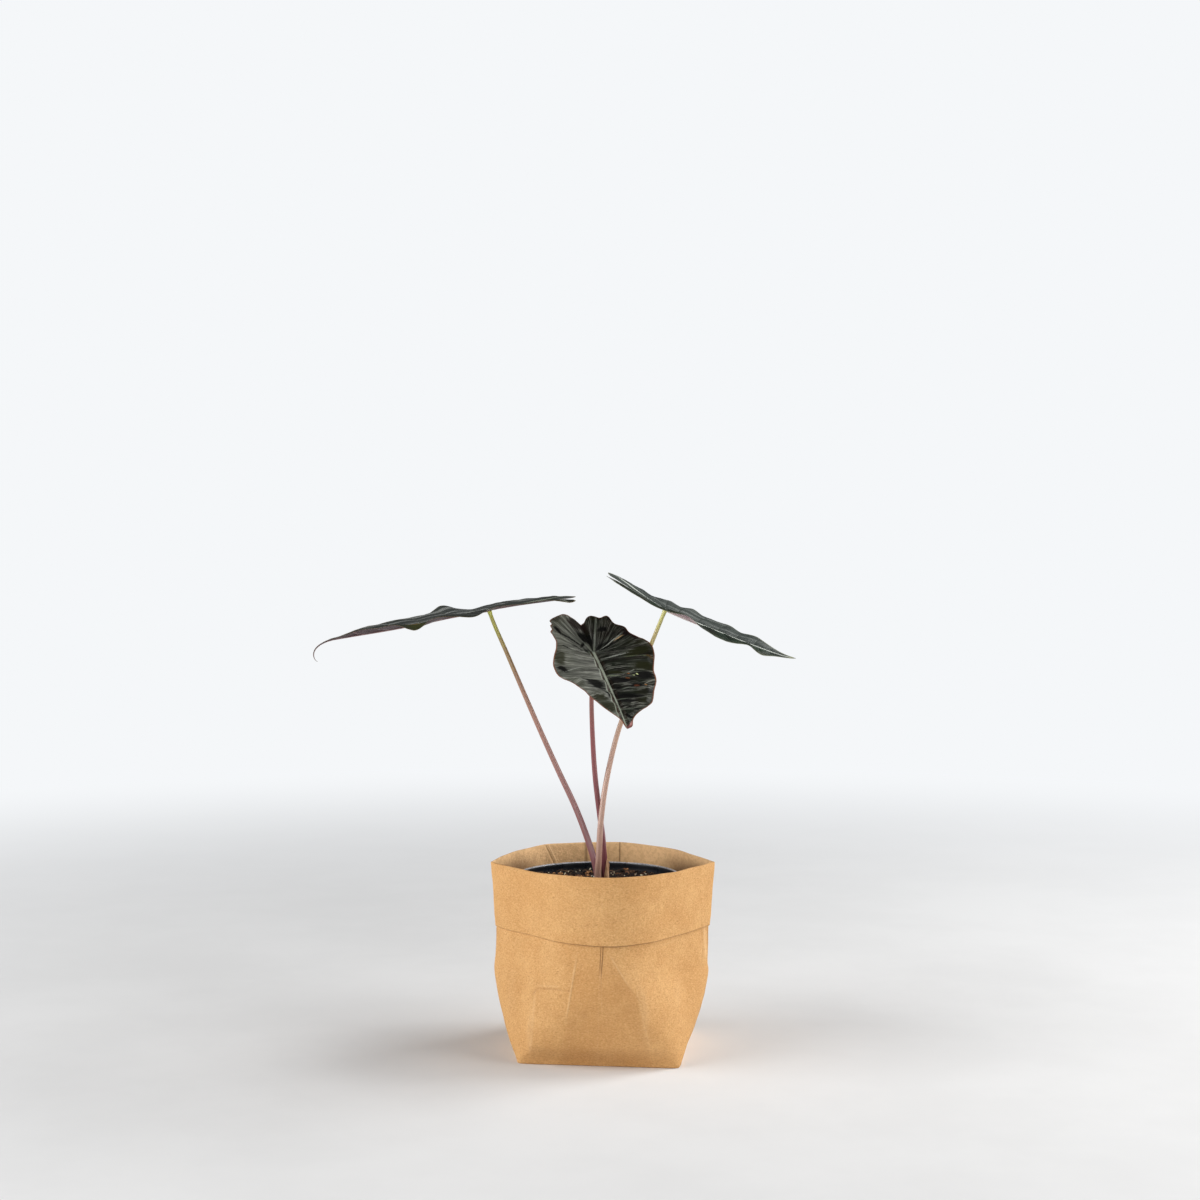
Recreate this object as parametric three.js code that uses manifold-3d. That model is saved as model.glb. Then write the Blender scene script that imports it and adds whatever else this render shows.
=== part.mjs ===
// Potted alocasia: a small aroid with three leaves, in a nursery pot that stands in a folded paper bag.
// Millimetres, +Z up, the front towards -Y. The origin is on the surface under the middle of the bag's mouth.

import * as THREE from 'three';
import { mergeVertices } from 'three/addons/utils/BufferGeometryUtils.js';
import Module from 'manifold-3d';

// Clearance between pieces that touch
const clearance = 0.3;

// Paper bag: one sheet with a boxed base, four upright folds and its mouth turned down as a cuff
const paper = 0.5;
const cuffGap = 0.3;
const mouthHeight = 121.3;
const mouthRiseAtBack = 1.5;
const cuffHeight = 41;
const cuffSagInFront = 2;
const splitHeight = 54;
const bellyBulge = 1.8;
const baseSide = 102;
const baseTurn = -6.5;
const baseMiddle = [2.6, 2.9];
const cornerShare = 0.03;
const foldWidth = 1.2;
const arcSteps = 11;

// Where each upright fold stands on the outside, as [x, y], at the mouth, the cuff's foot and its split
const folds = {
  left: { mouth: [-72.1, -4], cuffFoot: [-68.9, -4], split: [-69.7, -2] },
  front: { mouth: [-0.7, -64.6], cuffFoot: [-0.7, -63], split: [-1.5, -62.5] },
  right: { mouth: [72.1, -4.2], cuffFoot: [68.6, -4], split: [67.1, -3] },
  back: { mouth: [11.3, 67], cuffFoot: [11, 65], split: [9.5, 65] },
};

// The mouth's soft corners between one fold and the next, anticlockwise from above
const mouthCorners = {
  left: [[-65.4, -14.8], [-52.2, -28.6], [-39.2, -43.2], [-26.5, -54], [-12, -61]],
  front: [[12, -64.5], [22.6, -59.3], [35.2, -49.7], [48.1, -36], [61.4, -19.4]],
  right: [[66, 9], [57, 23], [48, 42], [34, 54], [20, 64]],
  back: [[-5, 67], [-22, 64], [-39, 58], [-52, 43], [-61, 28]],
};

// Nursery pot: thin plastic with a rolled lip over a stiffening band and drain holes in its floor
const potMiddle = [-3, 1];
const potRimRadius = 53.6;
const potLipWidth = 2.4;
const potBandRadius = 53;
const potBandHeight = 9;
const potNeckRadius = 51.2;
const potBaseRadius = 39;
const potHeight = 111.2;
const potWall = 0.9;
const potFloor = 1.5;
const drainHoleRadius = 3.5;
const drainHoleCount = 6;
const drainCircleRadius = 26;

// Potting mix: fills the pot to a few millimetres below its rim
const soilTop = 106.8;
const soilCrown = 1.2;

// Corm and roots, under the mix
const cormMiddle = [-1.8, -1.2];
const cormTop = 95.5;
const cormHeight = 24;
const cormRadius = 13;
const cormCrownRadius = 9.5;
const rootCount = 8;
const rootRadius = 1.4;
const rootEndRadius = 0.6;
const rootReach = 27;
const rootDrop = 52;

// Leaf stalks, from the corm to the blade: route points and the radii at both ends
const stalks = {
  left: {
    route: [[-2.9, 0.4, 96], [-3.2, 0.9, 105], [-3.6, 1.2, 112], [-7.6, 1.9, 127.7], [-17.1, 2.6, 153.7],
      [-29.1, 3, 179.6], [-40.7, 3, 205.5], [-51.9, 2.4, 231.5], [-62.8, 1.2, 257.4], [-69.8, 0.4, 273.6],
      [-73, 0, 282.4]],
    radii: [2.2, 1.2],
    colour: '#8d6f72',
  },
  middle: {
    route: [[1.2, 3.4, 96], [1.2, 3.4, 107], [0.8, 2.8, 121], [-0.1, 1.4, 134.4], [-1.6, 0, 147.5],
      [-4.8, -5, 174], [-6.4, -11.5, 197], [-7.3, -22, 227.1], [-6.8, -29, 243.5], [-5.8, -35.7, 257]],
    radii: [2.1, 1.25],
    colour: '#5a2430',
  },
  right: {
    route: [[-2.9, -5.2, 96], [-3.4, -6, 112], [-2.8, -6.3, 122.6], [-1.3, -6.4, 148.5], [2.3, -5.5, 174.2],
      [10, -3.6, 206.2], [17.4, -2.5, 225.4], [27, -1.2, 251.1], [36.1, -0.2, 273.6], [39.9, 0, 282.9]],
    radii: [2.1, 1.25],
    colour: '#b99a72',
  },
};

// Dry papery sheath round the foot of the middle stalk
const sheath = { foot: 102, top: 121, inner: 2.5, wall: 0.5, facing: -35, spanAtFoot: 170, spanAtTop: 45 };

// Half outline of the side leaves from tip to sinus, as shares of front or back length and half width
const sideOutline = [
  [1, 0], [0.97, 0.035], [0.9, 0.1], [0.78, 0.27], [0.62, 0.55], [0.42, 0.84], [0.2, 0.985], [0, 1],
  [-0.3, 0.93], [-0.62, 0.74], [-0.9, 0.47], [-1, 0.3], [-0.97, 0.17], [-0.8, 0.09], [-0.55, 0.03],
  [-0.45, 0],
];

// The middle leaf's ragged outline, each half from tip to sinus in millimetres from the stalk
const middleOutline = {
  plus: [[77, 0], [75.5, 3.4], [70, 5.5], [66, 8.5], [62, 14], [58, 20], [54, 22.5], [45, 26], [37, 29.5],
    [25, 31.5], [15, 35], [7, 37.5], [-1, 38], [-7, 35], [-11, 31], [-17, 28], [-25, 26.5], [-29, 21.5],
    [-38, 18.5], [-37, 13.5], [-40, 9], [-38.5, 5.5], [-33, 2], [-31.5, 0]],
  minus: [[77, 0], [75, 0.8], [69, 2.2], [60.5, 9], [48, 16.7], [40, 20.8], [35, 24], [31, 28.7], [25, 31.4],
    [18, 31.8], [10.5, 29.8], [-3, 24.5], [-11.5, 22.5], [-21, 23], [-28, 20.8], [-32.5, 21], [-42, 9],
    [-39.5, 4.5], [-33.5, 1.2], [-31.5, 0]],
};

// Leaf blades. Dip and roll are degrees at stations along the midrib, and the tip lies at positive stations.
// Waves are [station, rise, reach] of the margin on either side of the midrib.
const blades = {
  left: {
    joint: [-73.1, 0, 283.4], heading: 180, front: 125, back: 56, half: 36, fold: 0.1, droop: 0.03,
    dip: [[-60, 5], [-30, 7], [0, 9.5], [50, 10], [85, 12], [104, 25], [110, 34], [116, 52], [119, 76],
      [122, 106], [125, 150]],
    roll: [[-60, -1], [0, -1], [40, -2], [60, -0.5], [100, 0]],
    plusWaves: [[-40, 1.4, 10], [-12, 1.3, 10], [6, -2.6, 8], [30, 1.8, 9], [46, -4.8, 7], [64, 1.2, 9]],
    minusWaves: [[-40, 1.2, 9], [-12, 0.5, 9], [10, -1.5, 9], [30.5, 5, 7.5], [50, -0.5, 9], [70, 0.3, 9]],
  },
  middle: {
    joint: [-5.7, -36, 257.6], heading: -72, front: 77, back: 42, half: 34, fold: 0.16, droop: 0.05,
    dip: [[-50, 34], [0, 30], [50, 32], [78, 38]],
    roll: [[-50, 0], [80, 0]],
    plusWaves: [[-12, 1.5, 7], [12, -1.2, 7], [32, 1.2, 7], [52, -1, 6]],
    minusWaves: [[-14, -1.2, 6], [6, 1.5, 7], [26, -1, 7], [48, 1, 7]],
  },
  right: {
    joint: [40.2, 0, 283.7], heading: 0, front: 90, back: 43, half: 30, fold: 0.19, droop: 0.15,
    dip: [[-50, 29], [-20, 32], [0, 24], [40, 22], [75, 20], [84, 12], [90, 8]],
    roll: [[-44, 4], [0, 2], [40, 6], [70, 18], [90, 22]],
    plusWaves: [[-18, 2.8, 8], [0, 3.2, 8], [16, 3.5, 7], [30, 1.5, 7], [43, 2.2, 7], [56, -1.8, 7],
      [68, 3.2, 8]],
    minusWaves: [[-10, -3.5, 6], [11, 3.2, 8], [38, -2.2, 10], [60, 5.5, 7], [75.5, -7.5, 7]],
  },
};
const bladeThickness = 0.7;
const waveSweep = 0.35;
const waveReachShare = 0.8;
const waveGrowth = 1.4;
const bladeRings = [0.2, 0.45, 0.68, 0.85, 0.95, 1];
const halfSteps = 36;

const wasm = await Module();
wasm.setup();
const radians = THREE.MathUtils.degToRad;

function asSolid(geometry) {
  const bare = new THREE.BufferGeometry();
  bare.setAttribute('position', geometry.getAttribute('position'));
  bare.setIndex(geometry.getIndex());
  const merged = mergeVertices(bare, 1e-4);
  return new wasm.Manifold(new wasm.Mesh({
    numProp: 3,
    vertProperties: new Float32Array(merged.getAttribute('position').array),
    triVerts: new Uint32Array(merged.getIndex().array),
  }));
}

function asGeometry(solid) {
  const mesh = solid.getMesh();
  const geometry = new THREE.BufferGeometry();
  geometry.setAttribute('position', new THREE.BufferAttribute(mesh.vertProperties, 3));
  geometry.setIndex(new THREE.BufferAttribute(mesh.triVerts, 1));
  return geometry;
}

// Value at a station, straight between the listed ones and level beyond them
function between(stations, at) {
  if (at <= stations[0][0]) return stations[0][1];
  for (let i = 1; i < stations.length; i += 1) {
    const [x0, v0] = stations[i - 1];
    const [x1, v1] = stations[i];
    if (at <= x1) return v0 + ((v1 - v0) * (at - x0)) / (x1 - x0);
  }
  return stations[stations.length - 1][1];
}

// Smooth curve through points, given as [x, y] or [x, y, z]
function smoothCurve(points) {
  const corners = points.map(([x, y, z = 0]) => new THREE.Vector3(x, y, z));
  return new THREE.CatmullRomCurve3(corners, false, 'centripetal');
}

// Closed solid from rings of equal length: a skin between neighbours and a fan on each end ring
function loftRings(rings, closing) {
  const count = rings[0].length;
  const positions = rings.flat(2);
  const index = [];
  for (let r = 0; r < rings.length - 1; r += 1) {
    for (let i = 0; i < count; i += 1) {
      const a = r * count + i;
      const b = r * count + ((i + 1) % count);
      index.push(a, b, b + count, a, b + count, a + count);
    }
  }
  const ends = [[0, closing.start, true], [rings.length - 1, closing.end, false]];
  for (const [ring, middle, reversed] of ends) {
    const hub = positions.length / 3;
    positions.push(...middle);
    for (let i = 0; i < count; i += 1) {
      const a = ring * count + i;
      const b = ring * count + ((i + 1) % count);
      index.push(...(reversed ? [hub, b, a] : [hub, a, b]));
    }
  }
  const geometry = new THREE.BufferGeometry();
  geometry.setAttribute('position', new THREE.Float32BufferAttribute(positions, 3));
  geometry.setIndex(index);
  return geometry;
}

// Round tube along a curve, tapering from the first radius to the last
function taperedTube(points, [startRadius, endRadius], sides, steps) {
  const route = smoothCurve(points);
  const section = new THREE.Shape();
  for (let i = 0; i <= sides; i += 1) {
    const angle = (2 * Math.PI * i) / sides;
    const corner = [Math.cos(angle), Math.sin(angle)];
    if (i === 0) section.moveTo(...corner);
    else section.lineTo(...corner);
  }
  const tube = new THREE.ExtrudeGeometry(section, { steps, extrudePath: route });
  const stations = route.getSpacedPoints(steps);
  const position = tube.getAttribute('position');
  const corner = new THREE.Vector3();
  for (let i = 0; i < position.count; i += 1) {
    corner.fromBufferAttribute(position, i);
    const misses = stations.map((station) => Math.abs(corner.distanceTo(station) - 1));
    const nearest = misses.indexOf(Math.min(...misses));
    const radius = startRadius + ((endRadius - startRadius) * nearest) / steps;
    corner.sub(stations[nearest]).setLength(radius).add(stations[nearest]);
    position.setXYZ(i, corner.x, corner.y, corner.z);
  }
  return tube;
}

// Lathe about an upright axis through a plan point; profile points are [radius, height]
function turned(profile, segments, [x, y]) {
  const lathe = new THREE.LatheGeometry(profile.map(([r, z]) => new THREE.Vector2(r, z)), segments);
  lathe.rotateX(Math.PI / 2);
  lathe.translate(x, y, 0);
  return lathe;
}

// One fold's place at a height, between its split, the cuff's foot and the mouth
function foldAt(fold, height) {
  const { mouth, cuffFoot, split } = folds[fold];
  return [0, 1].map((axis) => between(
    [[splitHeight, split[axis]], [mouthHeight - cuffHeight, cuffFoot[axis]], [mouthHeight, mouth[axis]]],
    height,
  ));
}

// The bag's plan at a height: a corner arc after each fold. Under the split height the folds open into
// flat triangles that stand on the base's sides, and the arcs shrink towards the base's corners.
function bagPlan(height) {
  const order = ['left', 'front', 'right', 'back'];
  const opened = Math.min(1, Math.max(cornerShare, height / splitHeight));
  const plan = [];
  order.forEach((fold, q) => {
    const next = order[(q + 1) % 4];
    const mouthArc = smoothCurve([folds[fold].mouth, ...mouthCorners[fold], folds[next].mouth]);
    const arcHeight = Math.max(height, splitHeight);
    const start = foldAt(fold, arcHeight);
    const end = foldAt(next, arcHeight);
    const turn = radians(baseTurn + 90 * q + 225);
    const reach = (baseSide / 2) * Math.SQRT2;
    const baseCorner = [baseMiddle[0] + reach * Math.cos(turn), baseMiddle[1] + reach * Math.sin(turn)];
    const length = Math.hypot(end[0] - start[0], end[1] - start[1]);
    const inset = foldWidth / 2 / length;
    for (let i = 0; i <= arcSteps; i += 1) {
      const share = inset + (1 - 2 * inset) * (i / arcSteps);
      const atMouth = mouthArc.getPointAt(share).toArray();
      plan.push([0, 1].map((axis) => {
        const shift = (start[axis] - folds[fold].mouth[axis]) * (1 - share)
          + (end[axis] - folds[next].mouth[axis]) * share;
        return baseCorner[axis] + (atMouth[axis] + shift - baseCorner[axis]) * opened;
      }));
    }
  });
  return plan;
}

// The plan moved inwards by a distance, less the belly of its lower part, and set at a level
// that follows the mouth's rise at the back or the cuff's sag in front
function bagRing(height, inwards, { level = height, rise = 0, sag = 0 } = {}) {
  const plan = bagPlan(height);
  const belly = bellyBulge * Math.sin(Math.PI * Math.min(1, height / splitHeight));
  return plan.map(([x, y], i) => {
    const before = plan[(i + plan.length - 1) % plan.length];
    const after = plan[(i + 1) % plan.length];
    const along = new THREE.Vector2(after[0] - before[0], after[1] - before[1]).normalize();
    const tilt = rise * Math.max(0, y / folds.back.mouth[1]) - sag * Math.max(0, y / folds.front.mouth[1]);
    return [x - along.y * (inwards - belly), y + along.x * (inwards - belly), level + tilt];
  });
}

function makeBag() {
  const cuffFoot = mouthHeight - cuffHeight;
  const cuffMiddle = mouthHeight - cuffHeight / 2;
  const cuffCeiling = mouthHeight - 2.5;
  const wall = paper + cuffGap;
  const mouth = { rise: mouthRiseAtBack };
  const foot = { sag: cuffSagInFront };
  const lower = [17, 34, splitHeight];
  const rings = [bagRing(0, 0)];
  lower.forEach((height) => rings.push(bagRing(height, 0)));
  rings.push(bagRing(cuffFoot, wall), bagRing(cuffMiddle, wall), bagRing(cuffCeiling, wall, mouth));
  rings.push(bagRing(cuffCeiling, paper, mouth), bagRing(cuffMiddle, paper), bagRing(cuffFoot, paper, foot));
  rings.push(bagRing(cuffFoot, 0, foot), bagRing(cuffMiddle, 0), bagRing(mouthHeight - 0.5, 0, mouth));
  rings.push(bagRing(mouthHeight, (wall + paper) / 2, mouth));
  rings.push(bagRing(mouthHeight - 0.5, wall + paper, mouth), bagRing(cuffMiddle, wall + paper));
  rings.push(bagRing(cuffFoot, wall + paper));
  lower.reverse().forEach((height) => rings.push(bagRing(height, paper)));
  rings.push(bagRing(0, paper, { level: paper }));
  return loftRings(rings, { start: [...baseMiddle, 0], end: [...baseMiddle, paper] });
}

function potRadiusAt(height) {
  const foot = paper + clearance;
  const neck = foot + potHeight - potBandHeight;
  return between([[foot, potBaseRadius], [neck, potNeckRadius]], height);
}

function makePot() {
  const foot = paper + clearance;
  const top = foot + potHeight;
  const neck = top - potBandHeight;
  const lipInside = potRimRadius - potLipWidth;
  const profile = [
    [0, foot], [potBaseRadius - 1, foot], [potBaseRadius, foot + 1], [potNeckRadius, neck],
    [potBandRadius, neck + 0.8], [potBandRadius, top - 3], [potRimRadius, top - 2], [potRimRadius, top - 0.7],
    [potRimRadius - 0.7, top], [lipInside + 0.7, top], [lipInside, top - 0.7], [lipInside, top - 2],
    [potBandRadius - potWall, top - 3], [potBandRadius - potWall, neck + 1.4],
    [potNeckRadius - potWall, neck], [potBaseRadius - potWall, foot + potFloor], [0, foot + potFloor],
  ];
  let pot = asSolid(turned(profile, 48, potMiddle));
  for (let i = 0; i < drainHoleCount; i += 1) {
    const angle = (2 * Math.PI * i) / drainHoleCount;
    const hole = new THREE.CylinderGeometry(drainHoleRadius, drainHoleRadius, 4 * potFloor, 12);
    hole.rotateX(Math.PI / 2);
    hole.translate(
      potMiddle[0] + drainCircleRadius * Math.cos(angle),
      potMiddle[1] + drainCircleRadius * Math.sin(angle),
      foot,
    );
    pot = pot.subtract(asSolid(hole));
  }
  return asGeometry(pot);
}

// Corm with its crown cut flat where the stalks rise, and roots that fan out below it.
// With extra it is a cutter that is larger all round.
function cormWithRoots(extra) {
  const foot = cormTop - cormHeight;
  const bulb = [[0.55, 0], [0.95, 0.28], [1, 0.55], [0.9, 0.8]];
  const profile = [
    [0, foot - extra],
    ...bulb.map(([share, level]) => [
      cormRadius * share + extra,
      foot + cormHeight * level - (level === 0 ? extra : 0),
    ]),
    [cormCrownRadius + extra, cormTop + extra],
    [0, cormTop + extra],
  ];
  let solid = asSolid(turned(profile, 20, cormMiddle));
  for (let i = 0; i < rootCount; i += 1) {
    const angle = (2 * Math.PI * (i + 0.2 * Math.sin(5 * i))) / rootCount;
    const drop = rootDrop * (0.8 + 0.2 * Math.cos(3 * i));
    const reach = rootReach * (0.85 + 0.15 * Math.sin(2 * i));
    const route = [0, 0.3, 0.65, 1].map((share) => {
      const swing = angle + 0.35 * Math.sin(4 * share + i);
      const out = 4 + reach * Math.sin(share * 1.5);
      return [
        cormMiddle[0] + out * Math.cos(swing),
        cormMiddle[1] + out * Math.sin(swing),
        foot + cormHeight * 0.4 - drop * share ** 1.3,
      ];
    });
    route[3][2] -= extra;
    solid = solid.add(asSolid(taperedTube(route, [rootRadius + extra, rootEndRadius + extra], 6, 9)));
  }
  return solid;
}

// Dry sheath: a strip of an upright tube round the stalk's foot, narrowing to a point as it rises
function makeSheath(extra = 0) {
  const { foot, top, inner, wall, facing, spanAtFoot, spanAtTop } = sheath;
  const stalkLine = smoothCurve(stalks.middle.route).getPoints(500);
  const across = 12;
  const levels = 6;
  const rings = [];
  for (let level = 0; level <= levels; level += 1) {
    const share = level / levels;
    const height = foot - extra + (top - foot + 2 * extra) * share;
    const hub = stalkLine.find((p) => p.z >= height);
    const span = radians(spanAtFoot + (spanAtTop - spanAtFoot) * share ** 1.6) + (2 * extra) / inner;
    const ring = [];
    for (const [radius, direction] of [[inner + wall + extra, 1], [inner - extra, -1]]) {
      for (let i = 0; i <= across; i += 1) {
        const angle = radians(facing) + direction * span * (i / across - 0.5);
        ring.push([hub.x + radius * Math.cos(angle), hub.y + radius * Math.sin(angle), height]);
      }
    }
    rings.push(ring);
  }
  return stripSolid(rings, across);
}

// Closed solid from C-shaped rings whose first half is the outside and second half the inside
function stripSolid(rings, across) {
  const count = rings[0].length;
  const positions = rings.flat(2);
  const index = [];
  for (let r = 0; r < rings.length - 1; r += 1) {
    for (let i = 0; i < count; i += 1) {
      const a = r * count + i;
      const b = r * count + ((i + 1) % count);
      index.push(a, b, b + count, a, b + count, a + count);
    }
  }
  for (let i = 0; i < across; i += 1) {
    const [a, b] = [i, i + 1];
    const [c, d] = [count - 2 - i, count - 1 - i];
    index.push(a, d, b, b, d, c);
    const up = (rings.length - 1) * count;
    index.push(up + a, up + b, up + d, up + b, up + c, up + d);
  }
  const geometry = new THREE.BufferGeometry();
  geometry.setAttribute('position', new THREE.Float32BufferAttribute(positions, 3));
  geometry.setIndex(index);
  return geometry;
}

// Tapering stalk; with extra it is a cutter, wider all round and deeper at its foot
function makeStalk(stalk, extra = 0) {
  const [foot, tip] = stalk.radii;
  const [[x, y, z], ...rest] = stalk.route;
  return taperedTube([[x, y, z - 3 * extra], ...rest], [foot + extra, tip + extra], 8, 26);
}

function makeSoil() {
  const base = paper + clearance + potFloor + clearance;
  const shoulder = paper + clearance + potHeight - potBandHeight - 1;
  const inset = potWall + clearance;
  const radius = potRadiusAt(shoulder) - inset;
  const profile = [
    [0, base], [potRadiusAt(base) - inset - 0.5, base], [radius, shoulder], [radius, soilTop - 0.6],
    [radius - 1.5, soilTop], [24, soilTop + soilCrown * 0.6], [0, soilTop + soilCrown],
  ];
  let soil = asSolid(turned(profile, 48, potMiddle));
  soil = soil.subtract(cormWithRoots(clearance));
  Object.values(stalks).forEach((stalk) => {
    soil = soil.subtract(asSolid(makeStalk(stalk, clearance)));
  });
  return asGeometry(soil.subtract(asSolid(makeSheath(clearance))));
}

// Plan outline of half a blade, from the tip to the sinus
function halfOutline(name, side) {
  const { front, back, half } = blades[name];
  const points = name === 'middle' ? middleOutline[side]
    : sideOutline.map(([x, y]) => [x * (x > 0 ? front : back), y * half]);
  const curve = smoothCurve(points);
  const outline = [];
  for (let i = 0; i <= halfSteps; i += 1) {
    const p = curve.getPointAt(i / halfSteps);
    outline.push([p.x, i === 0 || i === halfSteps ? 0 : Math.max(p.y, 0.15)]);
  }
  return outline;
}

// Height of the blade over its own bent plane: a shallow fold along the midrib and waves along the margins
function bladeLift(blade, x, y) {
  const out = Math.abs(y) / blade.half;
  let lift = blade.fold * Math.abs(y) - blade.droop * blade.half * out ** 2;
  const waves = y > 0 ? blade.plusWaves : blade.minusWaves;
  waves.forEach(([station, rise, reach]) => {
    const shifted = station + waveSweep * (Math.abs(y) - blade.half * waveReachShare);
    lift += rise * Math.exp(-(((x - shifted) / reach) ** 2)) * out ** waveGrowth;
  });
  return lift;
}

// The midrib's run and drop at a station, from the dip angles by small steps
function midribAt(blade, x) {
  const step = 0.5 * Math.sign(x);
  let run = 0;
  let drop = 0;
  for (let s = 0; Math.abs(s) < Math.abs(x); s += step) {
    const piece = Math.abs(s + step) > Math.abs(x) ? x - s : step;
    const dip = radians(between(blade.dip, s + piece / 2));
    run += piece * Math.cos(dip);
    drop += piece * Math.sin(dip);
  }
  return { run, drop, dip: radians(between(blade.dip, x)) };
}

function bladePoint(blade, x, y) {
  const { run, drop, dip } = midribAt(blade, x);
  const heading = radians(blade.heading);
  const ahead = new THREE.Vector3(Math.cos(heading), Math.sin(heading), 0);
  const aside = new THREE.Vector3(-Math.sin(heading), Math.cos(heading), 0);
  const up = ahead.clone().multiplyScalar(Math.sin(dip)).add(new THREE.Vector3(0, 0, Math.cos(dip)));
  const roll = radians(between(blade.roll, x));
  const across = aside.clone().multiplyScalar(Math.cos(roll)).addScaledVector(up, Math.sin(roll));
  const normal = aside.clone().multiplyScalar(-Math.sin(roll)).addScaledVector(up, Math.cos(roll));
  const point = new THREE.Vector3(...blade.joint)
    .addScaledVector(ahead, run)
    .addScaledVector(across, y)
    .addScaledVector(normal, bladeLift(blade, x, y));
  point.z -= drop;
  return { point, normal };
}

// Blade as a thin closed shell: scaled copies of the outline round the stalk's joint, above and below
function makeBlade(name) {
  const blade = blades[name];
  const plus = halfOutline(name, 'plus');
  const minus = halfOutline(name, 'minus');
  const outline = [...plus, ...minus.slice(1, -1).reverse().map(([x, y]) => [x, -y])];
  const count = outline.length;
  const positions = [];
  const index = [];
  for (const half of [0.5, -0.5]) {
    const put = (x, y) => {
      const { point, normal } = bladePoint(blade, x, y);
      point.addScaledVector(normal, half * bladeThickness);
      positions.push(point.x, point.y, point.z);
    };
    const first = positions.length / 3;
    put(0, 0);
    bladeRings.forEach((share) => outline.forEach(([x, y]) => put(x * share, y * share)));
    for (let i = 0; i < count; i += 1) {
      const j = (i + 1) % count;
      const faces = [[first, first + 1 + i, first + 1 + j]];
      for (let r = 0; r < bladeRings.length - 1; r += 1) {
        const a = first + 1 + r * count + i;
        const b = first + 1 + r * count + j;
        faces.push([a, a + count, b + count], [a, b + count, b]);
      }
      faces.forEach(([a, b, c]) => index.push(...(half > 0 ? [a, b, c] : [a, c, b])));
    }
  }
  const layer = positions.length / 6;
  const margin = 1 + (bladeRings.length - 1) * count;
  for (let i = 0; i < count; i += 1) {
    const a = margin + i;
    const b = margin + ((i + 1) % count);
    index.push(a, b + layer, b, a, a + layer, b + layer);
  }
  const geometry = new THREE.BufferGeometry();
  geometry.setAttribute('position', new THREE.Float32BufferAttribute(positions, 3));
  geometry.setIndex(index);
  return geometry;
}

const plant = new THREE.Group();
plant.name = 'potted_alocasia';

function addPiece(name, geometry, colour, roughness) {
  geometry.computeVertexNormals();
  const material = new THREE.MeshStandardMaterial({ color: colour, roughness, metalness: 0 });
  const mesh = new THREE.Mesh(geometry, material);
  mesh.name = name;
  plant.add(mesh);
}

addPiece('paper_bag', makeBag(), '#d3a069', 0.9);
addPiece('nursery_pot', makePot(), '#1c1c1e', 0.45);
addPiece('potting_mix', makeSoil(), '#3a2c22', 1);
addPiece('corm_with_roots', asGeometry(cormWithRoots(0)), '#8a6a4c', 0.9);
Object.entries(stalks).forEach(([name, stalk]) => {
  addPiece(`leaf_stalk_${name}`, makeStalk(stalk), stalk.colour, 0.5);
});
addPiece('dry_sheath', makeSheath(), '#c49a6c', 0.8);
Object.keys(blades).forEach((name) => {
  addPiece(`leaf_blade_${name}`, makeBlade(name), '#232823', 0.4);
});

export default plant;
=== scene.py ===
# Potted alocasia in a folded kraft paper bag: the looks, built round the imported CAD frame.
# Shapes are worked out in millimetres and put into the meshes in metres.
import math

import bmesh
import bpy
import numpy as np
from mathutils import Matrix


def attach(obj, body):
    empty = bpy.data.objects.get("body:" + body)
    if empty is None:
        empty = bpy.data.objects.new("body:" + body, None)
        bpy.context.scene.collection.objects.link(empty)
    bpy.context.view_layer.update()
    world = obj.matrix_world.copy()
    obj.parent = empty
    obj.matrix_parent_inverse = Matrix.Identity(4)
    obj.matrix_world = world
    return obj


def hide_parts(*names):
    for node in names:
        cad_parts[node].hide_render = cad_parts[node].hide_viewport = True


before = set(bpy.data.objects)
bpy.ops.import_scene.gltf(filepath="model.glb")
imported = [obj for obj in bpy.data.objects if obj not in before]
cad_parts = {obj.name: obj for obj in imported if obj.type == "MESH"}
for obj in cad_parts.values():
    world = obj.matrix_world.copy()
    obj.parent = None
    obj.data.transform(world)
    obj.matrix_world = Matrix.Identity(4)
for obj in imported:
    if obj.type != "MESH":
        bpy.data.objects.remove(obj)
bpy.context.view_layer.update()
print("frame loaded:", len(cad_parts), "nodes")

mm = 0.001
fullTurn = 2 * math.pi
randomSeed = 27
seamGap = 1e-7                  # points closer than this, in metres, are one


# Small helpers for shapes.

# Soft step from 0 to 1 as value goes from low to high: 3t^2 - 2t^3.
def softStep(value, low, high):
    t = np.clip((value - low) / (high - low), 0, 1)
    return t * t * (3 - 2 * t)


# Bell: e to the power of minus the square of value over width.
def bell(value, width):
    return np.exp(-((value / width) ** 2))


# A table of (place, value) pairs, read off at the places given.
def fromTable(at, table):
    return np.interp(at, *np.array(table, float).T)


# Each coordinate of the points read off at the places given; known are the points' own places.
def readOff(at, known, points):
    return np.stack([np.interp(at, known, column) for column in np.array(points, float).T], -1)


def lengthWalked(line):
    return np.concatenate([[0], np.cumsum(np.linalg.norm(np.diff(line, axis=0), axis=1))])


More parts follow.
